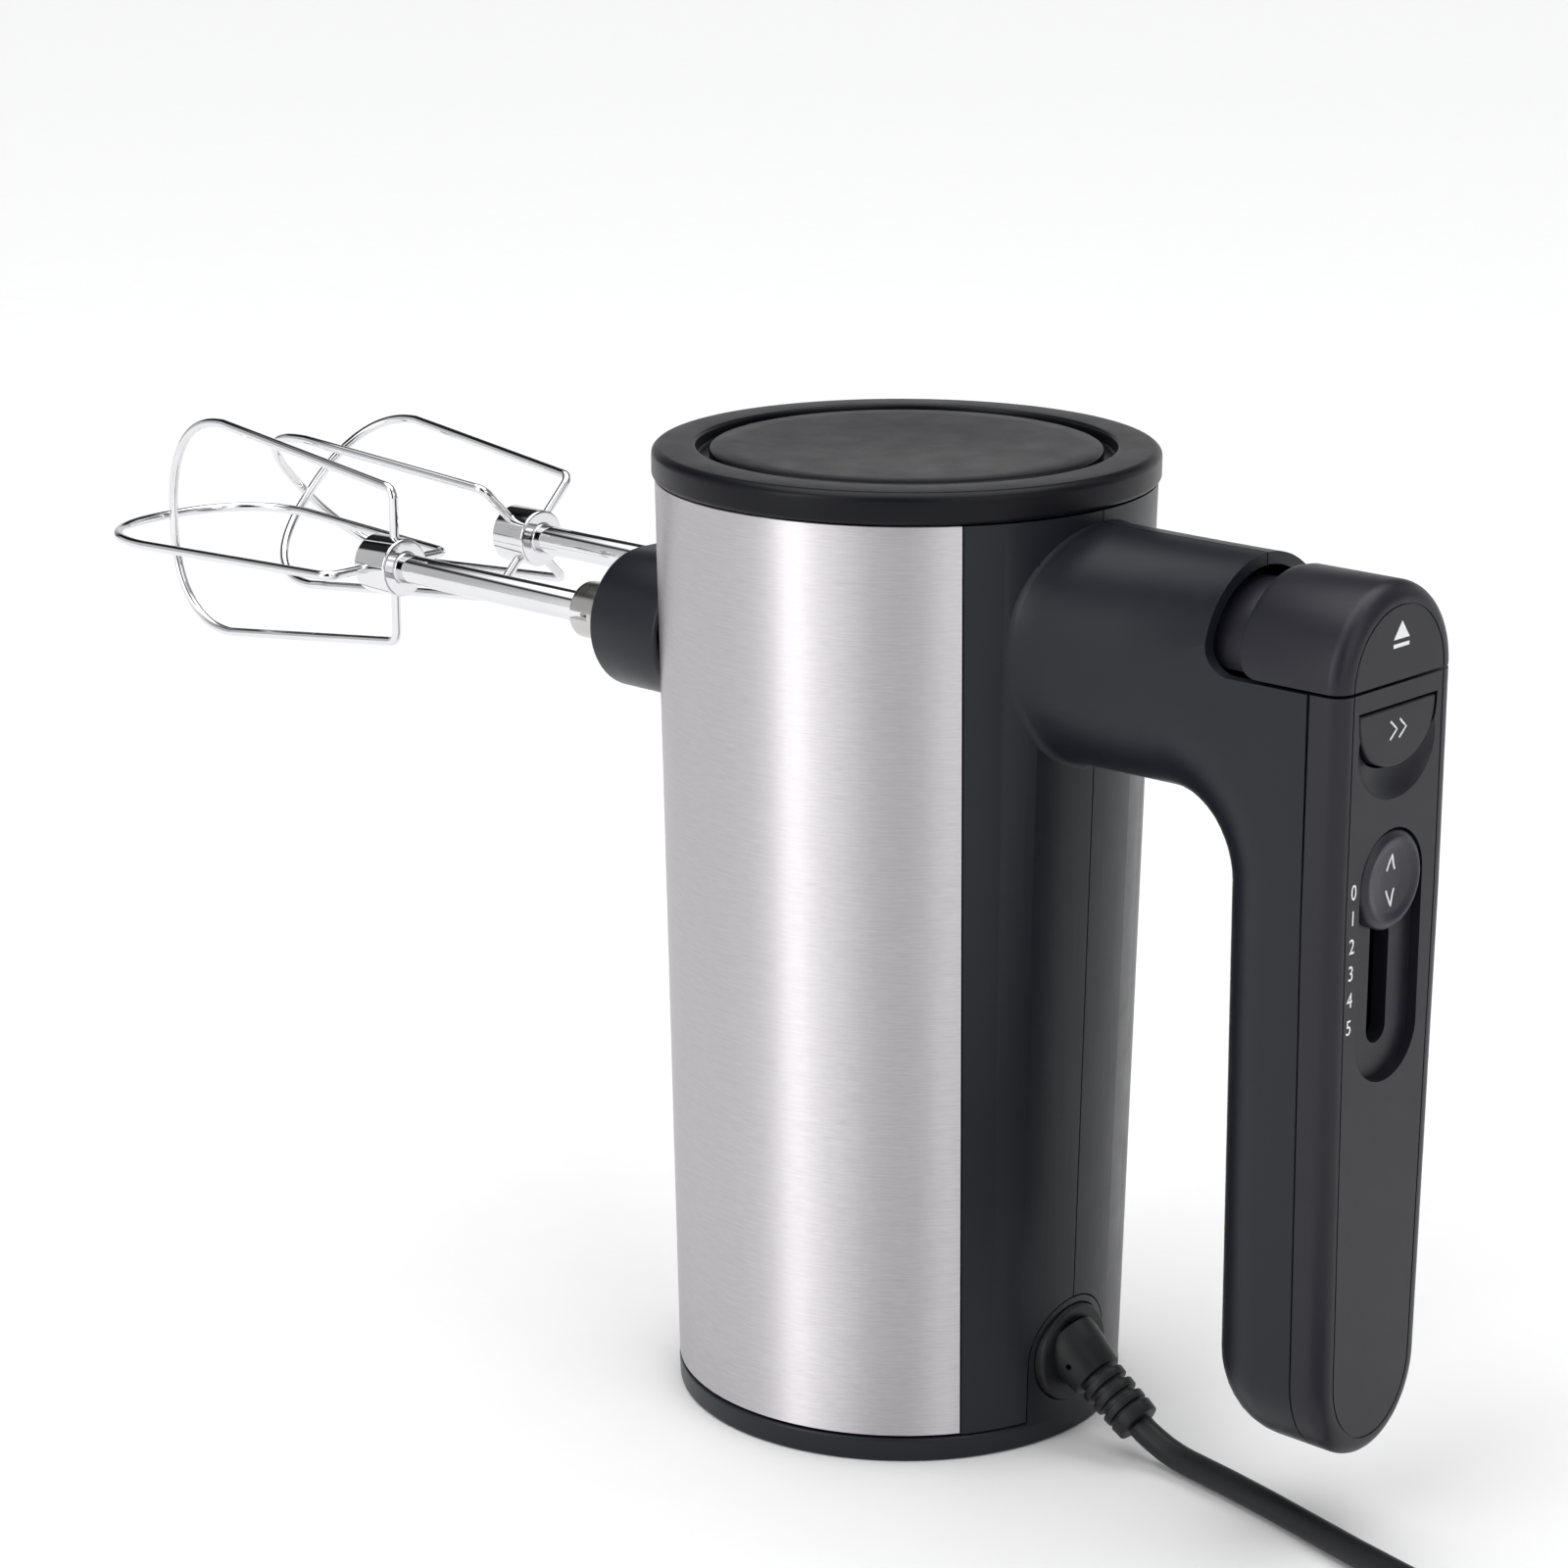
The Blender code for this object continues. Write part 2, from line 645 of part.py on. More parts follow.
def turbo_outline(grow):
    """A flat top over a half ellipse."""
    half_w = TURBO_HALF_W + grow
    drop = TURBO_TOP_Z - TURBO_BOTTOM_Z + grow
    top = TURBO_TOP_Z + grow
    points = [(half_w, top), (-half_w, top)]
    for i in range(1, 12):
        angle = math.pi * i / 12
        points.append((-half_w * math.cos(angle), top - (drop + grow) * math.sin(angle) ** 0.8))
    return points


def scoop():
    """A shallow dish below the turbo button that lets a thumb reach it."""
    bm = bmesh.new()
    bmesh.ops.create_uvsphere(bm, u_segments=24, v_segments=12, radius=1.0)
    place = Matrix.Translation((0, PANEL_Y + 0.0012, 0.1535))
    bm.transform(place @ Matrix.Diagonal((0.0125, 0.0036, 0.0105, 1)))
    dish = from_bmesh("turbo_scoop", bm, None)
    keep(dish, box("scoop_limit", (-0.02, 0.10, 0.13), (0.02, 0.13, 0.1560)))
    return dish


# ------------------------------------------------------------------- controls


def eject_corner_outline():
    """What is missing below the rounded lower front corner of the button's wide part, seen along X."""
    corner = (EJECT_FULL_Y + EJECT_CORNER_R, EJECT_AXIS_Z + EJECT_CORNER_R)
    low_z = EJECT_AXIS_Z - 0.002
    return arc(corner, EJECT_CORNER_R, 180, 270, 6) + [
        (corner[0], low_z),
        (0.0850, low_z),
        (0.0850, corner[1]),
    ]


def make_eject_button():
    y0 = 0.0800
    profile = [
        (0, y0), (EJECT_NECK_R, y0), (EJECT_NECK_R, 0.0911), (0.0148, 0.0914), (0.0162, 0.0921),
        (0.0171, EJECT_FULL_Y - 0.0001), (EJECT_R, 0.0950), (EJECT_R, PANEL_Y - PANEL_EDGE_R),
        (0.0170, 0.1130), (0.0156, 0.1144), (0.0138, PANEL_Y), (0, PANEL_Y),
    ]
    profile = [(r, -y) for r, y in profile]
    button = turned("eject_button", profile, CONTROL, (0, 0, EJECT_AXIS_Z), (0, -1, 0), steps=36)
    cut(button, box("eject_flat", (-0.03, 0.07, 0.140), (0.03, 0.13, EJECT_AXIS_Z)))
    cut(button, box("eject_hollow", (-0.0085, 0.0825, 0.16), (0.0085, 0.1120, 0.1745)))
    for side_name, low, high in (("left", EJECT_NECK_R, 0.03), ("right", -0.03, -EJECT_NECK_R)):
        cut(button, extruded(f"eject_corner_{side_name}", eject_corner_outline(), low, high, "YZ"))
    rod_z = 0.170
    slider = cylinder("ejector_slider", (0, 0.0225, rod_z), (0, 0.0797, rod_z), 0.0026, SPRING, sides=16)
    join(slider, box("riser", (-0.0035, CROSSBAR_Y, 0.1500), (0.0035, CROSSBAR_Y + 0.0040, 0.1722)))
    join(slider, box("crossbar", (-0.0235, CROSSBAR_Y, 0.1492), (0.0235, CROSSBAR_Y + 0.0040, 0.1552)))
    for side in (1, -1):
        start = (side * BEATER_X, CROSSBAR_Y + 0.0030, BEATER_Z)
        end = (side * BEATER_X, -0.0025, BEATER_Z)
        join(slider, cylinder(f"ejector_pin_{side}", start, end, 0.0024, sides=12))
    tube("eject_spring", helix((0, 0.0502, rod_z), 0.0290, 0.0041, 6, 8), 0.0004, SPRING, sides=0)


def helix(start, length, radius, turns, per_turn):
    """A helix along +Y with both ends open."""
    points = []
    count = turns * per_turn
    for i in range(count + 1):
        angle = 2 * math.pi * i / per_turn
        y = start[1] + 0.0005 + (length - 0.001) * i / count
        points.append((start[0] + radius * math.cos(angle), y, start[2] + radius * math.sin(angle)))
    return points


def make_turbo():
    button = extruded("turbo_button", turbo_outline(0.0), 0.1045, PANEL_Y - 0.0001, "XZ", CONTROL)
    cut(button, box("turbo_hollow", (-0.0070, 0.10, 0.1535), (0.0070, 0.1125, 0.1585)))
    box("turbo_switch", (-0.0062, 0.0945, 0.1520), (0.0062, 0.1000, 0.1600), DARKER)
    tube("turbo_spring", helix((0, 0.1003, 0.1560), 0.0120, 0.0018, 5, 8), 0.0003, SPRING, sides=0)


def make_speed_control():
    knob_y = TRACK_FLOOR_Y + GAP
    profile = [
        (0, 0.1146), (0.0030, 0.1147), (0.0060, 0.1151), (0.0074, 0.1156), (0.0080, 0.1156),
        (0.0090, 0.1149), (KNOB_R, 0.1143), (KNOB_R, knob_y), (0, knob_y),
    ]
    profile = [(r, h - knob_y) for r, h in profile]
    knob = turned("speed_knob", profile, CONTROL, (0, knob_y, KNOB_Z), (0, 1, 0), steps=24)
    join(knob, box("stem", (-0.0024, 0.1050, KNOB_Z - 0.0038), (0.0024, 0.1140, KNOB_Z + 0.0038)))
    slider = box("speed_slider", (-0.0085, 0.1008, KNOB_Z - 0.0110), (0.0085, 0.1047, KNOB_Z + 0.0110), NYLON)
    cut(slider, box("slider_relief", (-0.0050, 0.0990, KNOB_Z - 0.0070), (0.0050, 0.1025, KNOB_Z + 0.0070)))
    box("control_board", (-0.0125, 0.0970, 0.066), (0.0125, 0.0986, 0.1455), BOARD)


# ------------------------------------------------------------- beaters and drive


def loop_points(tip_y, entry_y):
    """Half of a wire loop as (y, radius): out of the hub, along and round to the tip."""
    corner = 0.0025
    start = (entry_y, HUB_R + GAP)
    points = [start, (entry_y, LOOP_CORNER_R - corner)]
    for i in range(1, 4):
        angle = math.radians(30 * i)
        y = entry_y - corner * (1 - math.cos(angle))
        points.append((y, LOOP_CORNER_R - corner * (1 - math.sin(angle))))
    for share in (0.35, 0.70):
        y = entry_y - corner + (LOOP_WIDEST_Y - entry_y + corner) * share
        points.append((y, LOOP_CORNER_R + (LOOP_WIDEST_R - LOOP_CORNER_R) * share))
    power = 2 / 2.4
    for i in range(9):
        angle = math.radians(90 * i / 8)
        y = LOOP_WIDEST_Y + (tip_y - LOOP_WIDEST_Y) * math.sin(angle) ** power
        points.append((y, LOOP_WIDEST_R * max(math.cos(angle), 0.0) ** power))
    return points


def make_loop(name, x, degrees, tip_y, entry_y):
    half = loop_points(tip_y, entry_y)
    whole = half + [(y, -r) for y, r in reversed(half[:-1])]
    side = math.cos(math.radians(degrees))
    up = math.sin(math.radians(degrees))
    tube(name, [(x + r * side, y, BEATER_Z + r * up) for y, r in whole], WIRE_R, CHROME)


def make_beater(side_name, x, degrees):
    """A shaft with its hub, and two crossed wire loops."""
    length = -0.0045 - HUB_REAR_Y
    profile = [
        (0, HUB_LENGTH), (HUB_R - 0.0008, HUB_LENGTH), (HUB_R, HUB_LENGTH - 0.0006), (HUB_R, 0.0006),
        (HUB_R - 0.0006, 0), (SHAFT_R, 0), (SHAFT_R, -length + 0.002), (SHAFT_R - 0.0012, -length),
        (0, -length),
    ]
    turned(f"beater_shaft_{side_name}", profile, CHROME, (x, HUB_REAR_Y, BEATER_Z), (0, -1, 0), steps=24)
    inner_tip = LOOP_TIP_Y
    outer_tip = LOOP_TIP_Y - 2 * WIRE_R - 0.0004
    entry = HUB_REAR_Y - 0.0032
    make_loop(f"beater_wire_{side_name}_inner", x, degrees + 90, inner_tip, entry)
    make_loop(f"beater_wire_{side_name}_outer", x, degrees, outer_tip, entry - 2 * WIRE_R - 0.0004)


def wheel_ring(x, y):
    """The wheel's toothed outline at one station along its axis, turned to follow the worm's lead."""
    pitch_angle = 2 * math.pi / WHEEL_TEETH
    twist = WORM_LEAD * y / (2 * math.pi * WORM_PITCH_R * WHEEL_PITCH_R)
    ring = []
    for i in range(WHEEL_TEETH):
        for share, radius in (
            (-0.27, WHEEL_ROOT_R),
            (-0.12, WHEEL_TIP_R),
            (0.12, WHEEL_TIP_R),
            (0.27, WHEEL_ROOT_R),
        ):
            angle = (i + share) * pitch_angle - twist
            ring.append((x + radius * math.cos(angle), y, BEATER_Z + radius * math.sin(angle)))
    return ring


def make_worm():
    """A two-start right-hand worm whose grooves face both wheels at the height of the spindles.

    Each ring is flat, and each next ring is the same shape turned by one step, so its points run
    along the thread.
    """
    rise = WORM_LEAD / WORM_STEPS
    per_pitch = WORM_STEPS // 2
    radii = [WORM_TIP_R] * 2 + [WORM_ROOT_R] * (per_pitch - 2)
    groove_middle = (per_pitch + 1) / 2
    low = BEATER_Z - (WORM_RINGS // 2 // per_pitch * per_pitch + groove_middle) * rise
    bm = bmesh.new()
    rings = []
    for m in range(WORM_RINGS):
        ring = []
        for i in range(WORM_STEPS):
            angle = 2 * math.pi * i / WORM_STEPS
            radius = radii[(m - i) % per_pitch]
            ring.append(bm.verts.new((radius * math.cos(angle), radius * math.sin(angle), low + m * rise)))
        rings.append(ring)
    for below, above in zip(rings, rings[1:]):
        for i in range(WORM_STEPS):
            j = (i + 1) % WORM_STEPS
            bm.faces.new((below[i], below[j], above[j]))
            bm.faces.new((below[i], above[j], above[i]))
    bm.faces.new(rings[0])
    bm.faces.new(rings[-1])
    worm = from_bmesh("drive_worm", bm, MACHINED)
    cut(worm, cylinder("worm_bore", (0, 0, 0.10), (0, 0, 0.20), ROTOR_SHAFT_R + GAP))


def make_spindle(side_name, x):
    """The hollow drive socket, its worm wheel and its bushes."""
    front = -SPINDLE_FRONT_Y
    profile = [
        (SPINDLE_BORE_R, front - 0.0004), (SPINDLE_BORE_R + 0.0006, front), (SPINDLE_R - 0.0005, front),
        (SPINDLE_R, front - 0.0005), (SPINDLE_R, 0.030), (SPINDLE_REAR_R, 0.030), (SPINDLE_REAR_R, -0.0160),
        (SPINDLE_BORE_R, -0.0160),
    ]
    spindle = turned(
        f"spindle_{side_name}", profile, MACHINED, (x, 0, BEATER_Z), (0, -1, 0), steps=24, ring=True
    )
    for i, turn in enumerate((90, 210, 330)):
        slot = box(
            f"spindle_slot_{side_name}_{i}",
            (-0.0008, -front - 0.001, 0.002),
            (0.0008, -front + 0.0052, 0.008),
        )
        slot.data.transform(
            Matrix.Translation((x, 0, BEATER_Z)) @ Matrix.Rotation(math.radians(turn), 4, "Y")
        )
        cut(spindle, slot)
    wheel = loft(
        f"worm_wheel_{side_name}",
        [wheel_ring(x, y) for y in (-WHEEL_HALF_THICK, WHEEL_HALF_THICK)],
        NYLON,
    )
    cut(
        wheel,
        cylinder(f"wheel_bore_{side_name}", (x, -0.01, BEATER_Z), (x, 0.01, BEATER_Z), SPINDLE_REAR_R + GAP),
    )
    bore = SPINDLE_R + RUNNING_FIT
    bush = [(bore, 0.0065), (0.0076, 0.0065), (0.0076, 0), (bore, 0)]
    turned(f"front_bush_{side_name}", bush, BRASS, (x, -0.0490, BEATER_Z), (0, -1, 0), steps=24, ring=True)
    bore = SPINDLE_REAR_R + RUNNING_FIT
    bush = [(bore, 0.0036), (0.0068, 0.0036), (0.0068, 0), (bore, 0)]
    turned(f"rear_bush_{side_name}", bush, BRASS, (x, 0.0143, BEATER_Z), (0, -1, 0), steps=24, ring=True)


def make_snout():
    """The oval boss that both sockets come out of."""
    snout = extruded(
        "beater_snout",
        stadium(SNOUT_Z, SNOUT_HALF_W, SNOUT_HALF_H, 12),
        SNOUT_FRONT_Y,
        -0.0400,
        "XZ",
        DARK,
    )
    bevel = snout.modifiers.new("edge", "BEVEL")
    bevel.width = 0.0010
    bevel.segments = 2
    bevel.limit_method = "ANGLE"
    bevel.angle_limit = math.radians(60)
    for side in (1, -1):
        x = side * BEATER_X
        cut(snout, cylinder(f"snout_front_hole_{side}", (x, -0.07, BEATER_Z), (x, -0.03, BEATER_Z), 0.0062))
        cut(snout, cylinder(f"snout_bush_hole_{side}", (x, -0.0558, BEATER_Z), (x, -0.03, BEATER_Z), 0.0079))


def make_gearbox():
    frame = box("gearbox_frame", (-0.0300, 0.0110, 0.1240), (0.0300, 0.0140, 0.1765), LAMINATION)
    for low, high in ((0.1240, 0.1268), (0.1737, 0.1765)):
        join(frame, box(f"shelf_{low}", (-0.0100, -0.0080, low), (0.0100, 0.0120, high)))
    cut(frame, cylinder("shelf_hole", (0, 0, 0.115), (0, 0, 0.185), 0.0050))
    for side in (1, -1):
        x = side * BEATER_X
        cut(frame, cylinder(f"frame_hole_{side}", (x, 0.0, BEATER_Z), (x, 0.02, BEATER_Z), 0.0071))
    bore = ROTOR_SHAFT_R + RUNNING_FIT
    ring = [(bore, 0.0032), (0.0047, 0.0032), (0.0047, 0), (bore, 0)]
    turned("worm_bearing", ring, BRASS, (0, 0, 0.1735), steps=24, ring=True)


def make_motor():
    turned(
        "rotor_shaft",
        [
            (0, 0.1780), (0.0021, 0.1780), (ROTOR_SHAFT_R, 0.1772),
            (ROTOR_SHAFT_R, 0.0128), (0.0021, 0.0120), (0, 0.0120),
        ],
        MACHINED,
        steps=16,
    )
    rotor = extruded("rotor_core", gear_outline(12, 0.0115, 0.0146, 0.72), 0.046, 0.078, "XY", LAMINATION)
    cut(rotor, cylinder("rotor_bore", (0, 0, 0.03), (0, 0, 0.09), 0.0093, sides=20))
    winding = [
        (0.0028, 0.0825), (0.0105, 0.0825), (0.0122, 0.0813), (0.0122, 0.0783), (0.0090, 0.0783),
        (0.0090, 0.0457), (0.0122, 0.0457), (0.0122, 0.0427), (0.0105, 0.0415), (0.0028, 0.0415),
    ]
    turned("armature_winding", winding, COPPER, steps=16, ring=True)
    ring = [(0.0028, 0.036), (0.0096, 0.036), (0.0096, 0.0245), (0.0028, 0.0245)]
    turned("commutator", ring, COPPER, steps=24, ring=True)
    ring = [(0.0222, 0.078), (0.0330, 0.078), (0.0330, 0.046), (0.0222, 0.046)]
    turned("stator_core", ring, LAMINATION, steps=24, ring=True)
    for side_name, middle in (("left", 0), ("right", 180)):
        outer = arc((0, 0), 0.0218, middle - 62, middle + 62, 10)
        inner = arc((0, 0), 0.0156, middle + 62, middle - 62, 10)
        extruded(f"field_coil_{side_name}", outer + inner, 0.0415, 0.0825, "XY", COPPER)
    for side_name, side in (("left", 1), ("right", -1)):
        xs = sorted((side * 0.0101, side * 0.0215))
        box(f"carbon_brush_{side_name}", (xs[0], -0.0026, 0.0270), (xs[1], 0.0026, 0.0335), CARBON)
        xs = sorted((side * 0.0130, side * 0.0240))
        holder = box(f"brush_holder_{side_name}", (xs[0], -0.0042, 0.0254), (xs[1], 0.0042, 0.0351), BRASS)
        xs = sorted((side * 0.0120, side * 0.0225))
        cut(holder, box(f"holder_bore_{side_name}", (xs[0], -0.0029, 0.0267), (xs[1], 0.0029, 0.0338)))


def make_fan():
    fan = turned(
        "cooling_fan",
        [
            (0.0028, 0.1000), (0.0060, 0.1000), (0.0060, 0.0912),
            (0.0280, 0.0912), (0.0280, 0.0898), (0.0028, 0.0898),
        ],
        NYLON,
        steps=24,
        ring=True,
    )
    for i in range(8):
        blade = box(f"blade_{i}", (0.0050, -0.0006, 0.0905), (0.0270, 0.0006, 0.0980))
        blade.data.transform(Matrix.Rotation(math.radians(45 * i), 4, "Z"))
        join(fan, blade)


def make_motor_supports():
    """The spider above the fan, and the two bearings at the motor's ends."""
    z = 0.1050
    rim = body_radius(z) - SLEEVE_T - WALL_T - 3 * GAP
    ring = [(0.0062, z + 0.003), (0.0110, z + 0.003), (0.0110, z), (0.0062, z)]
    bracket = turned("motor_bracket", ring, LAMINATION, steps=24, ring=True)
    for i in range(4):
        arm = box(f"bracket_arm_{i}", (0.0100, -0.0030, z + 0.0005), (rim, 0.0030, z + 0.0025))
        arm.data.transform(Matrix.Rotation(math.radians(45 + 90 * i), 4, "Z"))
        join(bracket, arm)
    for name, z in (("lower_motor_bearing", 0.0138), ("upper_motor_bearing", 0.1048)):
        bore = ROTOR_SHAFT_R + RUNNING_FIT
        ring = [(bore, 0.0034), (0.0059, 0.0034), (0.0059, 0), (bore, 0)]
        turned(name, ring, BRASS, (0, 0, z), steps=24, ring=True)


# -------------------------------------------------------------------- mains lead

CORD_AXIS = Vector((0, 0.834, -0.552)).normalized()
RELIEF_START = Vector((0, 0.0435, 0.0193))
RELIEF_LENGTH = 0.0222
CORD_ROUTE = (
    (0.0000, 0.06235, 0.00683),
    (0.0000, 0.06370, 0.00594),
    (0.0000, 0.0662, 0.00478),
    (0.0001, 0.0688, 0.00385),
    (0.0003, 0.0720, 0.00317),
    (0.0007, 0.0753, 0.00295),
    (0.0020, 0.0850, 0.00295),
    (0.0042, 0.0960, 0.00295),
    (0.0072, 0.1080, 0.00295),
    (0.0102, 0.1200, 0.00295),
    (0.0130, 0.1330, 0.00295),
    (0.0150, 0.1460, 0.00295),
    (0.0163, 0.1600, 0.00295),
    (0.0174, 0.1730, 0.00295),
)
PLUG_ROUTE = (
    (0.0986, 0.1740, 0.00295),
    (0.0978, 0.1680, 0.00330),
    (0.0966, 0.1620, 0.00450),
    (0.0955, 0.1560, 0.00640),
    (0.0950, 0.1524, 0.00720),
    (0.0950, 0.1507, 0.00720),
)


def smooth(route, spacing):
    """Points read off a smooth curve through the route's own points."""
    places = [Vector(p) for p in route]
    places = [2 * places[0] - places[1]] + places + [2 * places[-1] - places[-2]]
    fine = []
    for i in range(1, len(places) - 2):
        a, b, c, d = places[i - 1 : i + 3]
        for k in range(20):
            t = k / 20
            fine.append(
                0.5
                * (
                    2 * b
                    + (c - a) * t
                    + (2 * a - 5 * b + 4 * c - d) * t * t
                    + (3 * b - 3 * c + d - a) * t**3
                )
            )
    fine.append(places[-2])
    total = sum((q - p).length for p, q in zip(fine, fine[1:]))
    count = max(round(total / spacing), 2)
    points = [fine[0]]
    walked, wanted = 0.0, total / count
    for p, q in zip(fine, fine[1:]):
        walked += (q - p).length
        if walked >= wanted - 1e-9 and len(points) < count:
            points.append(q)
            wanted = total / count * len(points)
    points.append(fine[-1])
    return points


def make_gland():
    relief = cylinder(
        "cord_strain_relief", (0, 0.0395, GLAND_Z), (0, 0.0458, GLAND_Z), GLAND_R, RUBBER, sides=32
    )
    profile = [(0, 0.0), (0.0066, 0.0), (0.0062, 0.0040), (0.0052, 0.0098)]
    for i in range(3):
        at = 0.0098 + 0.0030 * i
        profile += [
            (0.0036, at), (0.0036, at + 0.0014),
            (0.0049 - 0.0001 * i, at + 0.0014), (0.0048 - 0.0001 * i, at + 0.0030),
        ]
    profile += [
        (0.0036, 0.0188), (0.0036, 0.0196), (0.0047, 0.0196),
        (0.0045, RELIEF_LENGTH), (0, RELIEF_LENGTH),
    ]
    taper = turned("relief_taper", list(reversed(profile)), None, RELIEF_START, CORD_AXIS, steps=14)
    join(relief, taper)
    clamp = box("cable_clamp", (-0.0110, 0.0300, 0.0135), (0.0110, 0.0385, 0.0190), DARKER)
    cut(clamp, cylinder("clamp_groove", (0, 0.02, 0.0120), (0, 0.05, 0.0120), 0.0030))


def make_cord():
    straight_start = Vector(CORD_ROUTE[0])
    tube("power_cord", [straight_start] + smooth(CORD_ROUTE[1:], 0.0105), CORD_R, RUBBER)
    straight_end = Vector(PLUG_ROUTE[-1])
    tube("power_cord_end", smooth(PLUG_ROUTE[:-1], 0.0085) + [straight_end], CORD_R, RUBBER)
    half_w = COIL_COLUMNS * CORD_R
    height = 2 * CORD_R * COIL_LAYERS
    low = GAP
    ring = [
        (COIL_MEAN_R - half_w, low + height), (COIL_MEAN_R + half_w, low + height),
        (COIL_MEAN_R + half_w, low), (COIL_MEAN_R - half_w, low),
    ]
    turned("power_cord_coil", ring, RUBBER, (*COIL_CENTRE, 0), steps=32, ring=True)


def make_plug():
    """A flat two-pin plug that lies beside the coil, pins along -Y."""
    x, entry_y, z = 0.0950, 0.1504, 0.0072
    outline = [
        (x - 0.0050, entry_y), (x - 0.0085, entry_y - 0.006), (x - 0.0100, entry_y - 0.018),
        (x - 0.0170, entry_y - 0.028), (x - 0.0170, entry_y - 0.036), (x + 0.0170, entry_y - 0.036),
        (x + 0.0170, entry_y - 0.028), (x + 0.0100, entry_y - 0.018), (x + 0.0085, entry_y - 0.006),
        (x + 0.0050, entry_y),
    ]
    plug = extruded("mains_plug", outline, 0.0003, 0.0140, "XY", RUBBER)
    bevel = plug.modifiers.new("edge", "BEVEL")
    bevel.width = 0.0016
    bevel.segments = 2
    bevel.limit_method = "ANGLE"
    for side in (1, -1):
        px = x + side * 0.0093
        start = (px, entry_y - 0.0363, z)
        end = (px, entry_y - 0.0553, z)
        name = "plug_pin_left" if side > 0 else "plug_pin_right"
        cylinder(name, start, end, 0.0020, BRASS, sides=16)


def main():
    clear_scene()
    make_top()
    make_base()
    make_sleeve()
    make_housing()
    make_screws()
    make_rear_cover()
    make_eject_button()
    make_turbo()
    make_speed_control()
    for side_name, side, degrees in (("left", 1, 0), ("right", -1, 45)):
        make_beater(side_name, side * BEATER_X, degrees)
        make_spindle(side_name, side * BEATER_X)
    make_snout()
    make_gearbox()
    make_worm()
    make_motor()
    make_fan()
    make_motor_supports()
    make_gland()
    make_cord()
    make_plug()


main()
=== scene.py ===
"""The hand mixer's looks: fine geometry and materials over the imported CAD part.

Metres, +Z up, in the part's own frame: the beaters point along -Y and the grip is on +Y.
"""

import json
import math

import bmesh
import bpy
from mathutils import Matrix, Vector


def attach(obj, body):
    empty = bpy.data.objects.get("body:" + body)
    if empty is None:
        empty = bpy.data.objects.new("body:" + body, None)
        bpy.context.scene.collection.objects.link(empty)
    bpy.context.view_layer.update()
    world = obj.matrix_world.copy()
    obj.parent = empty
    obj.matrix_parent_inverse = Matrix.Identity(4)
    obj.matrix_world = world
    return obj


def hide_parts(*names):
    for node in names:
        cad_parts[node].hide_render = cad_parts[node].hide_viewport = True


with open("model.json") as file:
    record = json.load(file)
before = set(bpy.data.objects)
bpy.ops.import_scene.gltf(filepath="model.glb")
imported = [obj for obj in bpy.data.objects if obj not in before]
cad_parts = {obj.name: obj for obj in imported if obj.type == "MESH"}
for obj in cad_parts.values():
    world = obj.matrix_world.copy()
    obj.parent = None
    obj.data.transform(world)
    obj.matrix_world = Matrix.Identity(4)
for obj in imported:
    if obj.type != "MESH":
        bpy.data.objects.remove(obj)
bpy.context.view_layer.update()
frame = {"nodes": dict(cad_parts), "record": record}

# Body.
BASE_H = 0.0053
CAP_BOTTOM_Z = 0.1862
CAP_R = 0.0490
BODY_BOTTOM_R = 0.0447
BODY_TOP_R = 0.0484
SLEEVE_T = 0.0006
WALL_T = 0.0023
GAP = 0.0003
BODY_STEPS = 192
VENTS = 8
STRIP_TOP_HALF_W = 0.0286
STRIP_BOTTOM_HALF_W = 0.0243

# Arm, elbow and grip.
ARM_TOP_Z = 0.1836
ARM_BOTTOM_Z = 0.1378
ARM_ROOT_HALF_W = 0.0202
ARM_END_HALF_W = 0.0182
ARM_UNDER_DEPTH = 0.0225
ARM_OVER_DEPTH = 0.0185
ELBOW_Y = 0.071
ELBOW_Z = 0.1238
ELBOW_R = 0.014
GRIP_FRONT_Y = ELBOW_Y + ELBOW_R
GRIP_TOP_HALF_W = 0.0175
GRIP_END_Z = 0.035
GRIP_END_HALF_W = 0.0157
GRIP_END_DROP = 0.0175
GRIP_FRONT_DEPTH = 0.015
COVER_SEAM_Y = 0.108
COVER_WALL = 0.0026
PANEL_Y = 0.115
PANEL_EDGE_R = 0.0034
HANDLE_WALL = 0.0024
REAR_INSET = 0.002
SECTION_STEPS = 22

# Eject button.
NOTCH_Y = 0.0858
NOTCH_Z = 0.1645
NOTCH_R = 0.0055
EJECT_AXIS_Z = 0.1651
EJECT_R = 0.0175
EJECT_NECK_R = 0.0140
EJECT_FULL_Y = 0.0930
EJECT_CORNER_R = 0.0038
EJECT_START_Y = 0.0800

ROD_Z = 0.170

# Controls.
TURBO_HALF_W = 0.0115
TURBO_TOP_Z = 0.1605
TURBO_BOTTOM_Z = 0.1495
KNOB_R = 0.0093
KNOB_Z = 0.1285
KNOB_TRAVEL = 0.025
TRACK_R = 0.0096
TRACK_FLOOR_Y = 0.1129
SLOT_HALF_W = 0.00295

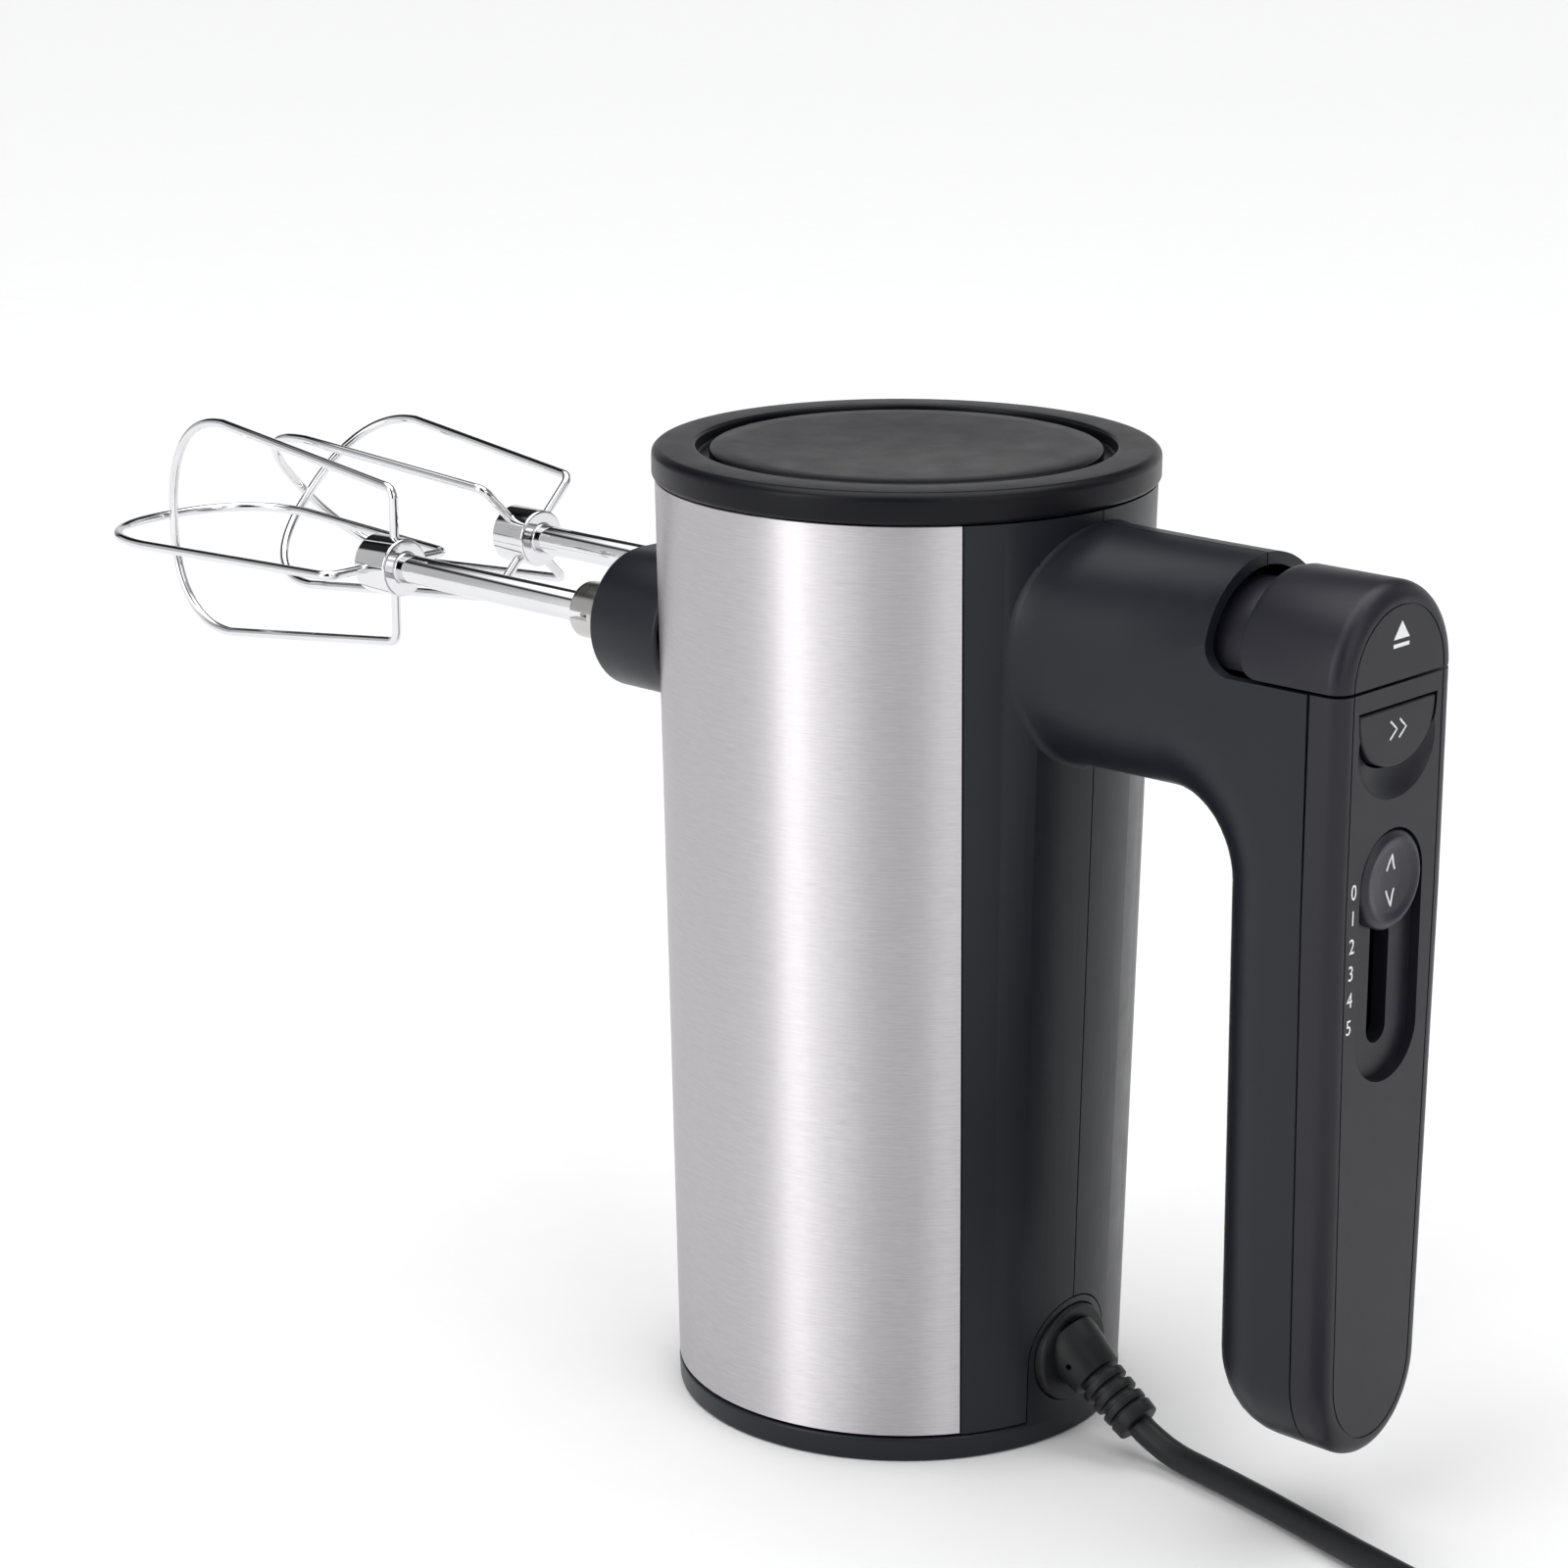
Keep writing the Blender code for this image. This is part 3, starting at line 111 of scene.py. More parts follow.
# Beaters and their sockets.
BEATER_X = 0.020
BEATER_Z = 0.1522
SHAFT_R = 0.0031
HUB_R = 0.0062
HUB_REAR_Y = -0.1225
HUB_LENGTH = 0.0095
WIRE_R = 0.0010
LOOP_CORNER_R = 0.0168
LOOP_WIDEST_R = 0.0234
LOOP_WIDEST_Y = -0.181
LOOP_TIP_Y = -0.1996
LOOP_SQUARENESS = 2.4
SPINDLE_R = 0.0058
SPINDLE_REAR_R = 0.0050
SPINDLE_BORE_R = SHAFT_R + 0.00008
SPINDLE_FRONT_Y = -0.0673
SPINDLE_STEP = 0.030
SPINDLE_REAR_Y = 0.0160
SNOUT_FRONT_Y = -0.059
SNOUT_HALF_W = 0.0285
SNOUT_HALF_H = 0.0142
SNOUT_Z = 0.1513

# Mains lead.
GLAND_Z = 0.0173
GLAND_R = 0.0098
ARCH_HALF_W = 0.0113
CORD_R = 0.00265
FLOOR_GAP = 0.0003

SMOOTH_ANGLE = math.radians(32)
CAD_SMOOTH_ANGLE = math.radians(35)

CAMERA_PLACE = (0.5734, 0.5004, 0.3380)
CAMERA_DIRECTION = (-0.7055, -0.6551, -0.2706)
CAMERA_LENS = 92.36


# ---- camera and cord


def make_camera():
    camera = linked("camera", bpy.data.cameras.new("camera"))
    camera.location = CAMERA_PLACE
    camera.rotation_mode = "QUATERNION"
    camera.rotation_quaternion = Vector(CAMERA_DIRECTION).to_track_quat("-Z", "Y")
    camera.data.sensor_width = 36.0
    camera.data.lens = CAMERA_LENS
    camera.data.clip_start = 0.01
    camera.data.clip_end = 50.0
    bpy.context.scene.camera = camera


CORD_ROUTE = (
    (0.0000, 0.06235, 0.00683),
    (0.0000, 0.06370, 0.00594),
    (0.0000, 0.0662, 0.00478),
    (0.0001, 0.0688, 0.00385),
    (0.0003, 0.0720, 0.00317),
    (0.0007, 0.0753, 0.00295),
    (0.0020, 0.0850, 0.00295),
    (0.0042, 0.0960, 0.00295),
    (0.0072, 0.1080, 0.00295),
    (0.0102, 0.1200, 0.00295),
    (0.0130, 0.1330, 0.00295),
    (0.0150, 0.1460, 0.00295),
    (0.0163, 0.1600, 0.00295),
)
PLUG_ROUTE = (
    (0.0978, 0.1680, 0.00330),
    (0.0966, 0.1620, 0.00450),
    (0.0955, 0.1560, 0.00640),
    (0.0950, 0.1524, 0.00720),
    (0.0950, 0.1507, 0.00720),
)
COIL_CENTRE = (0.058, 0.178)
COIL_START_DEG = 187.0
COIL_END_TURN = 1992.6
COIL_STEP_DEG = 10.0
# The coil runs clockwise seen from above: (degrees turned, radius, height of the centreline).
COIL_KEYS = (
    (0.0, 0.0409, 0.00295),
    (45.0, 0.0388, 0.00295),
    (90.0, 0.0365, 0.00295),
    (988.0, 0.02253, 0.00295),
    (1048.0, 0.0216, 0.00475),
    (1108.0, 0.0216, 0.00655),
    (1168.0, 0.0225, 0.00835),
    (1850.0, 0.0331, 0.00835),
    (1905.0, 0.0362, 0.00835),
    (1935.0, 0.0388, 0.00760),
    (1965.0, 0.0403, 0.00520),
    (COIL_END_TURN, 0.0408, 0.00295),
)


def coil_points():
    points = []
    count = round(COIL_END_TURN / COIL_STEP_DEG)
    for i in range(count + 1):
        turned_by = COIL_END_TURN * i / count
        for low, high in zip(COIL_KEYS, COIL_KEYS[1:]):
            if turned_by <= high[0]:
                share = (turned_by - low[0]) / (high[0] - low[0])
                radius = low[1] + (high[1] - low[1]) * share
                height = low[2] + (high[2] - low[2]) * share
                break
        angle = math.radians(COIL_START_DEG - turned_by)
        x = COIL_CENTRE[0] + radius * math.cos(angle)
        points.append(Vector((x, COIL_CENTRE[1] + radius * math.sin(angle), height)))
    return points


def relaxed(points, rounds):
    """Evens out corners, with both ends and the points beside them held."""
    for _ in range(rounds):
        middle = [(a + 2 * b + c) / 4 for a, b, c in zip(points[1:], points[2:], points[3:])]
        points = points[:2] + middle + points[-2:]
    return points


def cord_centreline():
    coil = coil_points()
    route = [Vector(p) for p in CORD_ROUTE] + coil + [Vector(p) for p in PLUG_ROUTE]
    return route[:4] + relaxed(route[4:], 2)


def make_cord():
    """The whole lead from the strain relief, through the coil, to the plug."""
    points = cord_centreline()
    lead = wire_curve("mains_lead", points, CORD_R, 6)
    lead.data.splines[0].use_smooth = True
    length = sum((b - a).length for a, b in zip(points, points[1:]))
    return lead, length


# ---- mesh helpers


def linked(name, mesh):
    obj = bpy.data.objects.new(name, mesh)
    bpy.context.scene.collection.objects.link(obj)
    return obj


def from_bmesh(name, bm):
    bmesh.ops.recalc_face_normals(bm, faces=bm.faces)
    mesh = bpy.data.meshes.new(name)
    bm.to_mesh(mesh)
    bm.free()
    return linked(name, mesh)


def box(name, low, high):
    bm = bmesh.new()
    size = [b - a for a, b in zip(low, high)]
    centre = [(a + b) / 2 for a, b in zip(low, high)]
    place = Matrix.Translation(centre) @ Matrix.Diagonal((*size, 1.0))
    bmesh.ops.create_cube(bm, size=1.0, matrix=place)
    return from_bmesh(name, bm)


def turned(name, profile, centre=(0, 0, 0), direction=(0, 0, 1), steps=96, ring=False, spin=0.0):
    """A turned solid from (radius, height) pairs. Points on the axis become one vertex."""
    bm = bmesh.new()
    loops = []
    for radius, height in profile:
        if radius < 1e-7:
            loops.append([bm.verts.new((0, 0, height))])
            continue
        angles = [2 * math.pi * i / steps + spin for i in range(steps)]
        loops.append([bm.verts.new((radius * math.cos(a), radius * math.sin(a), height)) for a in angles])
    pairs = list(zip(loops, loops[1:]))
    if ring:
        pairs.append((loops[-1], loops[0]))
    for first, second in pairs:
        for i in range(steps):
            j = (i + 1) % steps
            corners = [first[i % len(first)], first[j % len(first)]]
            corners += [second[j % len(second)], second[i % len(second)]]
            corners = list(dict.fromkeys(corners))
            if len(corners) > 2:
                bm.faces.new(corners)
    turn = Vector((0, 0, 1)).rotation_difference(Vector(direction)).to_matrix().to_4x4()
    bm.transform(Matrix.Translation(centre) @ turn)
    return from_bmesh(name, bm)


def cylinder(name, start, end, radius, steps=48):
    start, end = Vector(start), Vector(end)
    length = (end - start).length
    profile = [(0, 0), (radius, 0), (radius, length), (0, length)]
    return turned(name, profile, start, end - start, steps)


def placed(plane, a, b, height):
    return {"XY": (a, b, height), "XZ": (a, height, b), "YZ": (height, a, b)}[plane]


def extruded(name, outline, low, high, plane):
    """A flat outline in one plane, extruded from low to high along the plane's normal."""
    return loft(name, [[placed(plane, a, b, height) for a, b in outline] for height in (low, high)])


def loft(name, rings):
    bm = bmesh.new()
    loops = [[bm.verts.new(point) for point in ring] for ring in rings]
    for first, second in zip(loops, loops[1:]):
        for i in range(len(first)):
            j = (i + 1) % len(first)
            bm.faces.new((first[i], first[j], second[j], second[i]))
    bm.faces.new(loops[0])
    bm.faces.new(loops[-1])
    return from_bmesh(name, bm)


def wire_curve(name, points, radius, resolution):
    """A round wire along the points, as a curve."""
    curve = bpy.data.curves.new(name, "CURVE")
    curve.dimensions = "3D"
    curve.bevel_depth = radius
    curve.bevel_resolution = resolution
    curve.use_fill_caps = True
    spline = curve.splines.new("POLY")
    spline.points.add(len(points) - 1)
    for point, place in zip(spline.points, points):
        point.co = (*place, 1)
    return linked(name, curve)


def tube(name, points, radius, resolution):
    """A round wire along the points, as a mesh."""
    return as_mesh(wire_curve(name, points, radius, resolution))


def as_mesh(obj):
    """Replaces an object by one that holds its evaluated mesh in world space."""
    bpy.context.view_layer.update()
    graph = bpy.context.evaluated_depsgraph_get()
    mesh = bpy.data.meshes.new_from_object(obj.evaluated_get(graph))
    mesh.transform(obj.matrix_world)
    name = obj.name
    bpy.data.objects.remove(obj, do_unlink=True)
    bm = bmesh.new()
    bm.from_mesh(mesh)
    bpy.data.meshes.remove(mesh)
    bmesh.ops.remove_doubles(bm, verts=bm.verts, dist=0.000002)
    return from_bmesh(name, bm)


def combined(obj, others, operation):
    for other in others:
        modifier = obj.modifiers.new(operation.lower(), "BOOLEAN")
        modifier.operation = operation
        modifier.solver = "EXACT"
        modifier.object = other
    name = obj.name
    made = as_mesh(obj)
    for other in others:
        bpy.data.objects.remove(other, do_unlink=True)
    made.name = name
    return made


def cut(obj, *others):
    return combined(obj, others, "DIFFERENCE")


def join(obj, *others):
    return combined(obj, others, "UNION")


def keep(obj, *others):
    return combined(obj, others, "INTERSECT")


def rounded(obj, width, segments=2, angle_deg=40):
    """Rounds the edges sharper than the angle and leaves the rest alone."""
    bevel = obj.modifiers.new("edge", "BEVEL")
    bevel.width = width
    bevel.segments = segments
    bevel.limit_method = "ANGLE"
    bevel.angle_limit = math.radians(angle_deg)
    return obj


def arc(centre, radius, start_deg, end_deg, steps):
    points = []
    for i in range(steps + 1):
        angle = math.radians(start_deg + (end_deg - start_deg) * i / steps)
        points.append((centre[0] + radius * math.cos(angle), centre[1] + radius * math.sin(angle)))
    return points


def fillet(points, radius, steps=5):
    """A profile with its corners rounded; both end points stay."""
    made = [points[0]]
    for before, here, after in zip(points, points[1:], points[2:]):
        a, b, c = Vector(before), Vector(here), Vector(after)
        reach = min(radius, (a - b).length * 0.45, (c - b).length * 0.45)
        start = b + (a - b).normalized() * reach
        end = b + (c - b).normalized() * reach
        for i in range(steps + 1):
            t = i / steps
            made.append(tuple(start * (1 - t) ** 2 + b * 2 * t * (1 - t) + end * t * t))
    made.append(points[-1])
    return made


# ---- materials


def shader_material(name):
    made = bpy.data.materials.new(name)
    made.use_nodes = True
    tree = made.node_tree
    return made, tree, tree.nodes["Principled BSDF"]


def node(tree, kind, links=(), **values):
    """Adds a node, sets its properties and values, and links (input, socket) pairs into it."""
    made = tree.nodes.new(kind)
    for key, value in values.items():
        if hasattr(made, key):
            setattr(made, key, value)
        else:
            made.inputs[key.replace("_", " ")].default_value = value
    for target, socket in links:
        tree.links.new(socket, made.inputs[target])
    return made


def math_node(tree, operation, first, second, clamp=False):
    """A sum on two sockets or numbers. None leaves an input alone."""
    made = node(tree, "ShaderNodeMath", operation=operation, use_clamp=clamp)
    for target, value in zip(made.inputs, (first, second)):
        if isinstance(value, (int, float)):
            target.default_value = value
        elif value is not None:
            tree.links.new(value, target)
    return made.outputs[0]


def noise(tree, vector, scale, detail=2.0, rough=0.5):
    links = [("Vector", vector)]
    made = node(tree, "ShaderNodeTexNoise", links, Scale=scale, Detail=detail, Roughness=rough)
    return made.outputs["Fac"]


def layers(tree, vector, scale, distortion):
    """Thin bands stacked along Z."""
    links = [("Vector", vector)]
    made = node(
        tree, "ShaderNodeTexWave", links, bands_direction="Z", Scale=scale, Distortion=distortion
    )
    return made.outputs["Fac"]


def between(tree, factor, low, high):
    """Maps the middle half of a 0 to 1 value onto low to high."""
    ends = {"From_Min": 0.25, "From_Max": 0.75, "To_Min": low, "To_Max": high}
    return node(tree, "ShaderNodeMapRange", [("Value", factor)], **ends).outputs["Result"]


def two_colours(tree, factor, first, second):
    made = node(tree, "ShaderNodeMix", [("Factor", factor)], data_type="RGBA")
    ends = {"A": (*first, 1.0), "B": (*second, 1.0)}
    for socket in made.inputs:
        if socket.type == "RGBA":
            socket.default_value = ends[socket.name]
    return [socket for socket in made.outputs if socket.type == "RGBA"][0]


def bumped(tree, shader, height, strength, distance):
    made = node(tree, "ShaderNodeBump", [("Height", height)], Strength=strength, Distance=distance)
    tree.links.new(made.outputs["Normal"], shader.inputs["Normal"])


def surface(tree, shader, colour, roughness):
    tree.links.new(colour, shader.inputs["Base Color"])
    tree.links.new(roughness, shader.inputs["Roughness"])


def object_point(tree):
    return node(tree, "ShaderNodeTexCoord").outputs["Object"]


def moulded(name, colour, roughness, grain=1400.0, strength=0.12, specular=0.5, coat=0.0):
    """Moulded plastic or rubber: fine spark-eroded grain, faint clouding and light handling wear."""
    made, tree, shader = shader_material(name)
    point = object_point(tree)
    clouds = noise(tree, point, 38.0, 3.0)
    fine = noise(tree, point, grain, 3.0, 0.6)
    darker = tuple(c * 0.90 for c in colour)
    lighter = tuple(c * 1.10 for c in colour)
    wear = between(tree, noise(tree, point, 140.0, 4.0, 0.65), roughness - 0.035, roughness + 0.035)
    surface(tree, shader, two_colours(tree, clouds, darker, lighter), wear)
    shader.inputs["Specular IOR Level"].default_value = specular
    shader.inputs["Coat Weight"].default_value = coat
    shader.inputs["Coat Roughness"].default_value = 0.3
    bumped(tree, shader, fine, strength, 0.00006)
    return made


def round_axis_coordinates(tree, along, across, axis="Z"):
    """Coordinates that run round an axis: slow round it, fast along it."""
    parts = node(tree, "ShaderNodeSeparateXYZ", [("Vector", object_point(tree))]).outputs
    side, front, height = {"Z": ("Y", "X", "Z"), "Y": ("Z", "X", "Y")}[axis]
    angle = math_node(tree, "ARCTAN2", parts[side], parts[front])
    slow = math_node(tree, "MULTIPLY", angle, along)
    fast = math_node(tree, "MULTIPLY", parts[height], across)
    return node(tree, "ShaderNodeCombineXYZ", [("X", slow), ("Y", fast)]).outputs[0]


def brushed_sleeve():
    """Steel sheet brushed round the body, which draws reflections out upright."""
    made, tree, shader = shader_material("sleeve_steel_look")
    strokes = noise(tree, round_axis_coordinates(tree, 5.0, 2600.0), 1.0, 3.0, 0.6)
    short = noise(tree, round_axis_coordinates(tree, 16.0, 5200.0), 1.0, 2.0, 0.5)
    brushing = math_node(tree, "MULTIPLY", math_node(tree, "ADD", strokes, short), 0.5)
    colour = two_colours(tree, brushing, (0.42, 0.40, 0.42), (0.86, 0.835, 0.86))
    surface(tree, shader, colour, between(tree, brushing, 0.38, 0.52))
    shader.inputs["Metallic"].default_value = 1.0
    shader.inputs["Anisotropic"].default_value = 0.92
    shader.inputs["Anisotropic Rotation"].default_value = 0.25
    tangent = node(tree, "ShaderNodeTangent", direction_type="RADIAL", axis="Z")
    tree.links.new(tangent.outputs["Tangent"], shader.inputs["Tangent"])
    bumped(tree, shader, brushing, 0.18, 0.00004)
    return made


def metal(name, colour, roughness, spread=0.03, grain=900.0, strength=0.05, turned_lines=False):
    """Bare metal with fine scratches, or with the lines a lathe tool leaves."""
    made, tree, shader = shader_material(name)
    point = object_point(tree)
    if turned_lines:
        pattern = noise(tree, round_axis_coordinates(tree, 1.0, 3000.0, "Y"), 1.0, 2.0)
    else:
        pattern = noise(tree, point, grain, 4.0, 0.6)
    clouds = noise(tree, point, 60.0, 2.0)
    darker = tuple(c * 0.90 for c in colour)
    wear = between(tree, pattern, max(roughness - spread, 0.02), roughness + spread)
    surface(tree, shader, two_colours(tree, clouds, darker, colour), wear)
    shader.inputs["Metallic"].default_value = 1.0
    bumped(tree, shader, pattern, strength, 0.00003)
    return made


def wound_copper():
    """Varnished windings: close parallel turns of wire."""
    made, tree, shader = shader_material("copper_wire_look")
    point = object_point(tree)
    turns = layers(tree, point, 380.0, 0.6)
    colour = two_colours(tree, turns, (0.30, 0.10, 0.035), (0.62, 0.27, 0.11))
    surface(tree, shader, colour, between(tree, noise(tree, point, 500.0), 0.26, 0.40))
    shader.inputs["Metallic"].default_value = 0.8
    shader.inputs["Coat Weight"].default_value = 0.5
    bumped(tree, shader, turns, 0.5, 0.00025)
    return made


def laminated_steel():
    """Stacked electrical sheet: thin layers along Z."""
    made, tree, shader = shader_material("lamination_look")
    point = object_point(tree)
    sheets = layers(tree, point, 320.0, 0.2)
    colour = two_colours(tree, sheets, (0.10, 0.10, 0.11), (0.30, 0.30, 0.32))
    surface(tree, shader, colour, between(tree, noise(tree, point, 700.0), 0.38, 0.52))
    shader.inputs["Metallic"].default_value = 1.0
    bumped(tree, shader, sheets, 0.4, 0.0001)
    return made


def make_materials():
    return {
        "body_shell": moulded("body_shell_look", (0.0080, 0.0095, 0.0145), 0.36, specular=0.30),
        "top_trim": moulded("top_trim_look", (0.0045, 0.0047, 0.0075), 0.34, specular=0.17),
        "handle_trim": moulded("handle_trim_look", (0.0120, 0.0120, 0.0185), 0.38, specular=0.32),
        "knob": moulded("knob_look", (0.0190, 0.0190, 0.0280), 0.36, specular=0.36),
        "sleeve_steel": brushed_sleeve(),
        "beater_chrome": metal("beater_chrome_look", (0.80, 0.80, 0.82), 0.055, 0.02, 700.0, 0.02),
        "machined_steel": metal("machined_steel_look", (0.56, 0.55, 0.54), 0.22, 0.06, turned_lines=True),
        "lamination_steel": laminated_steel(),
        "copper_wire": wound_copper(),
        "bearing_bronze": metal("bearing_bronze_look", (0.56, 0.38, 0.18), 0.42, 0.06, 1500.0, 0.15),
        "gear_nylon": moulded("gear_nylon_look", (0.72, 0.70, 0.62), 0.40, 900.0, 0.08),
        "inner_plastic": moulded("inner_plastic_look", (0.055, 0.055, 0.060), 0.48),
        "carbon": moulded("carbon_look", (0.020, 0.020, 0.020), 0.70, 900.0, 0.3, 0.3),
        "circuit_board": moulded("circuit_board_look", (0.015, 0.085, 0.035), 0.35, 500.0, 0.15),
        "spring_steel": metal("spring_steel_look", (0.50, 0.50, 0.52), 0.26, 0.06, 1200.0, 0.06),
        "cord_rubber": moulded("cord_rubber_look", (0.0080, 0.0085, 0.0100), 0.46, 1100.0, 0.18, 0.32),
        "plug_brass": metal("plug_brass_look", (0.78, 0.60, 0.30), 0.20, 0.05, 900.0, 0.05),
        "legend": moulded("legend_look", (0.90, 0.90, 0.91), 0.45, 900.0, 0.05),
    }


# Material of each slot, filled in by main().
LOOKS = {}


def shade(obj, material, angle=SMOOTH_ANGLE):
    obj.data.materials.clear()
    obj.data.materials.append(material)
    if obj.type == "MESH":
        obj.data.shade_smooth()
        obj.data.set_sharp_from_angle(angle=angle)


def piece(obj, body, slot, *nodes):
    """Finishes one visible piece: its look, the body it moves with and the CAD nodes it stands for."""
    shade(obj, LOOKS[slot])
    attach(obj, body)
    if nodes:
        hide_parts(*nodes)
    return obj


# ---- body


def body_radius(z):
    """Outer radius of the steel sleeve at a height."""
    share = (z - BASE_H) / (CAP_BOTTOM_Z - BASE_H)
    return BODY_BOTTOM_R + (BODY_TOP_R - BODY_BOTTOM_R) * share


def cone_ring(name, low, high, outer_inset, inner_inset):
    outer = [(body_radius(z) - outer_inset, z) for z in (high, low)]
    inner = [(body_radius(z) - inner_inset, z) for z in (low, high)]
    return turned(name, outer + inner, steps=BODY_STEPS, ring=True, spin=math.pi / BODY_STEPS)


def strip_outline(grow):
    rise = 0.02
    slope = (STRIP_TOP_HALF_W - STRIP_BOTTOM_HALF_W) / (CAP_BOTTOM_Z - BASE_H)
    low_w = STRIP_BOTTOM_HALF_W - slope * rise + grow
    high_w = STRIP_TOP_HALF_W + slope * rise + grow
    low_z = BASE_H - rise
    high_z = CAP_BOTTOM_Z + rise
    return [(-low_w, low_z), (low_w, low_z), (high_w, high_z), (-high_w, high_z)]


def arch_outline(grow):
    half_w = ARCH_HALF_W + grow
    low_z = 0.002
    return [(-half_w, low_z), (half_w, low_z)] + arc((0, GLAND_Z), half_w, 0, 180, 40)


def snout_outline(grow):
    """Flat above and below, with half-round sides."""
    half_h = SNOUT_HALF_H + grow
    straight = SNOUT_HALF_W + grow - half_h
    left = arc((straight, SNOUT_Z), half_h, -90, 90, 32)
    return left + arc((-straight, SNOUT_Z), half_h, 90, 270, 32)


def make_top():
    rim = [(0.030, 0.1896), (0.0404, 0.1896), (0.0405, 0.1923), (0.0479, 0.1922), (CAP_R, 0.1912)]
    rim += [(CAP_R, 0.1868), (BODY_TOP_R, CAP_BOTTOM_Z), (0.0450, CAP_BOTTOM_Z)]
    inside = [(0.0446, CAP_BOTTOM_Z), (0.0446, 0.1815), (0.0430, 0.1815), (0.0430, 0.1874), (0, 0.1874)]
    profile = [(0, 0.1896)] + fillet(rim, 0.0007) + inside
    piece(turned("top_cap_look", profile, steps=BODY_STEPS), "body", "top_trim", "top_cap")
    crown = [(0, 0.1913), (0.0100, 0.19135), (0.0220, 0.1916), (0.0330, 0.1920), (0.0366, 0.19195)]
    edge = fillet([crown[-1], (0.0379, 0.1916), (0.0379, 0.1899), (0.0360, 0.1899)], 0.0005)
    profile = crown + edge[1:] + [(0, 0.1899)]
    piece(turned("top_disc_look", profile, steps=BODY_STEPS), "body", "top_trim", "top_disc")


def make_base():
    inside = [(0, 0.0024), (0.0394, 0.0024), (0.0394, 0.0095), (0.0410, 0.0095), (0.0410, BASE_H - GAP)]
    outside = fillet([(0.0425, BASE_H - GAP), (0.0448, BASE_H - GAP), (0.0446, 0.0), (0.0420, 0)], 0.0008)
    base = turned("base_cap_look", inside + outside + [(0, 0)], steps=BODY_STEPS)
    tongue = cone_ring("tongue", 0.0035, 0.029, 0.0, 0.0044)
    tongue = keep(tongue, extruded("tongue_outline", arch_outline(0.0), 0.03, 0.06, "XZ"))
    seat = [(0.0062, 0.0180), (0.0085, 0.0180), (0.0085, 0.0015), (0.0062, 0.0015)]
    base = join(base, tongue, turned("bearing_seat", seat, steps=48, ring=True))
    cutters = [cylinder("gland_hole", (0, 0.030, GLAND_Z), (0, 0.060, GLAND_Z), GLAND_R + GAP, 64)]
    for i in range(VENTS):
        slot = box(f"vent_{i}", (0.016, -0.0015, -0.002), (0.030, 0.0015, 0.004))
        slot.data.transform(Matrix.Rotation(2 * math.pi * (i + 0.5) / VENTS, 4, "Z"))
        cutters.append(slot)
    piece(rounded(cut(base, *cutters), 0.00025, 2, 60), "body", "body_shell", "base_cap")


def make_sleeve():
    sleeve = cone_ring("steel_sleeve_look", BASE_H + GAP, CAP_BOTTOM_Z - GAP, 0, SLEEVE_T)
    gap = extruded("sleeve_gap", strip_outline(GAP), 0.02, 0.06, "XZ")
    hole = extruded("sleeve_hole", snout_outline(GAP), -0.06, -0.02, "XZ")
    sleeve = cut(sleeve, gap, hole)
    piece(rounded(sleeve, 0.00022, 3, 60), "body", "sleeve_steel", "steel_sleeve")


# ---- handle


def grip_half_width(z):
    share = (z - GRIP_END_Z) / (ELBOW_Z - GRIP_END_Z)
    return GRIP_END_HALF_W + (GRIP_TOP_HALF_W - GRIP_END_HALF_W) * min(max(share, 0), 1)


def section(foot, direction, half_w, inner_b, outer_b, length, wall):
    """One ring of the handle: two half ellipses of depths inner_b and outer_b, and straight sides."""
    half_w -= wall
    inner_b -= wall
    outer_b = max(outer_b - wall, 0.0)
    near = inner_b + wall
    far = length - wall - outer_b
    points = []
    for i in range(SECTION_STEPS + 1):
        angle = math.pi * i / SECTION_STEPS
        points.append((-half_w * math.cos(angle), near - inner_b * math.sin(angle)))
    for i in range(SECTION_STEPS + 1):
        angle = math.pi * i / SECTION_STEPS
        points.append((half_w * math.cos(angle), far + outer_b * math.sin(angle)))
    return [(x, foot[0] + direction[0] * q, foot[1] + direction[1] * q) for x, q in points]


# Rings nearer the body than this curve round it.
ARM_CURVED_TO_Y = 0.055
# How far each of those rings spreads past the arm: (y, spread).
ARM_FLARE = (
    (0.0350, 0.0016),
    (0.0470, 0.0016),
    (0.0474, 0.0012),
    (0.0479, 0.0006),
    (0.0486, 0.0002),
    (0.0494, 0.0),
)


def arm_rings(wall):
    """The arm from inside the body to the elbow, with a small flare where it meets the body."""
    rings = []
    rows = [(y, ARM_ROOT_HALF_W, extra) for y, extra in ARM_FLARE]
    rows += [(0.053, 0.0198, 0.0), (0.060, 0.0191, 0.0), (0.0655, 0.0186, 0.0)]
    rows.append((ELBOW_Y, ARM_END_HALF_W, 0.0))
    for y, half_w, extra in rows:
        extra = 0.0 if wall else extra
        bottom = ARM_BOTTOM_Z - extra
        length = ARM_TOP_Z + extra - bottom
        under = ARM_UNDER_DEPTH + extra
        over = ARM_OVER_DEPTH + extra
        ring = section((y, bottom), (0, 1), half_w + extra, under, over, length, wall)
        if y < ARM_CURVED_TO_Y:
            bend = body_radius(BEATER_Z)
            ring = [(x, y0 - bend + math.sqrt(bend**2 - x**2), z) for x, y0, z in ring]
        rings.append(ring)
    return rings


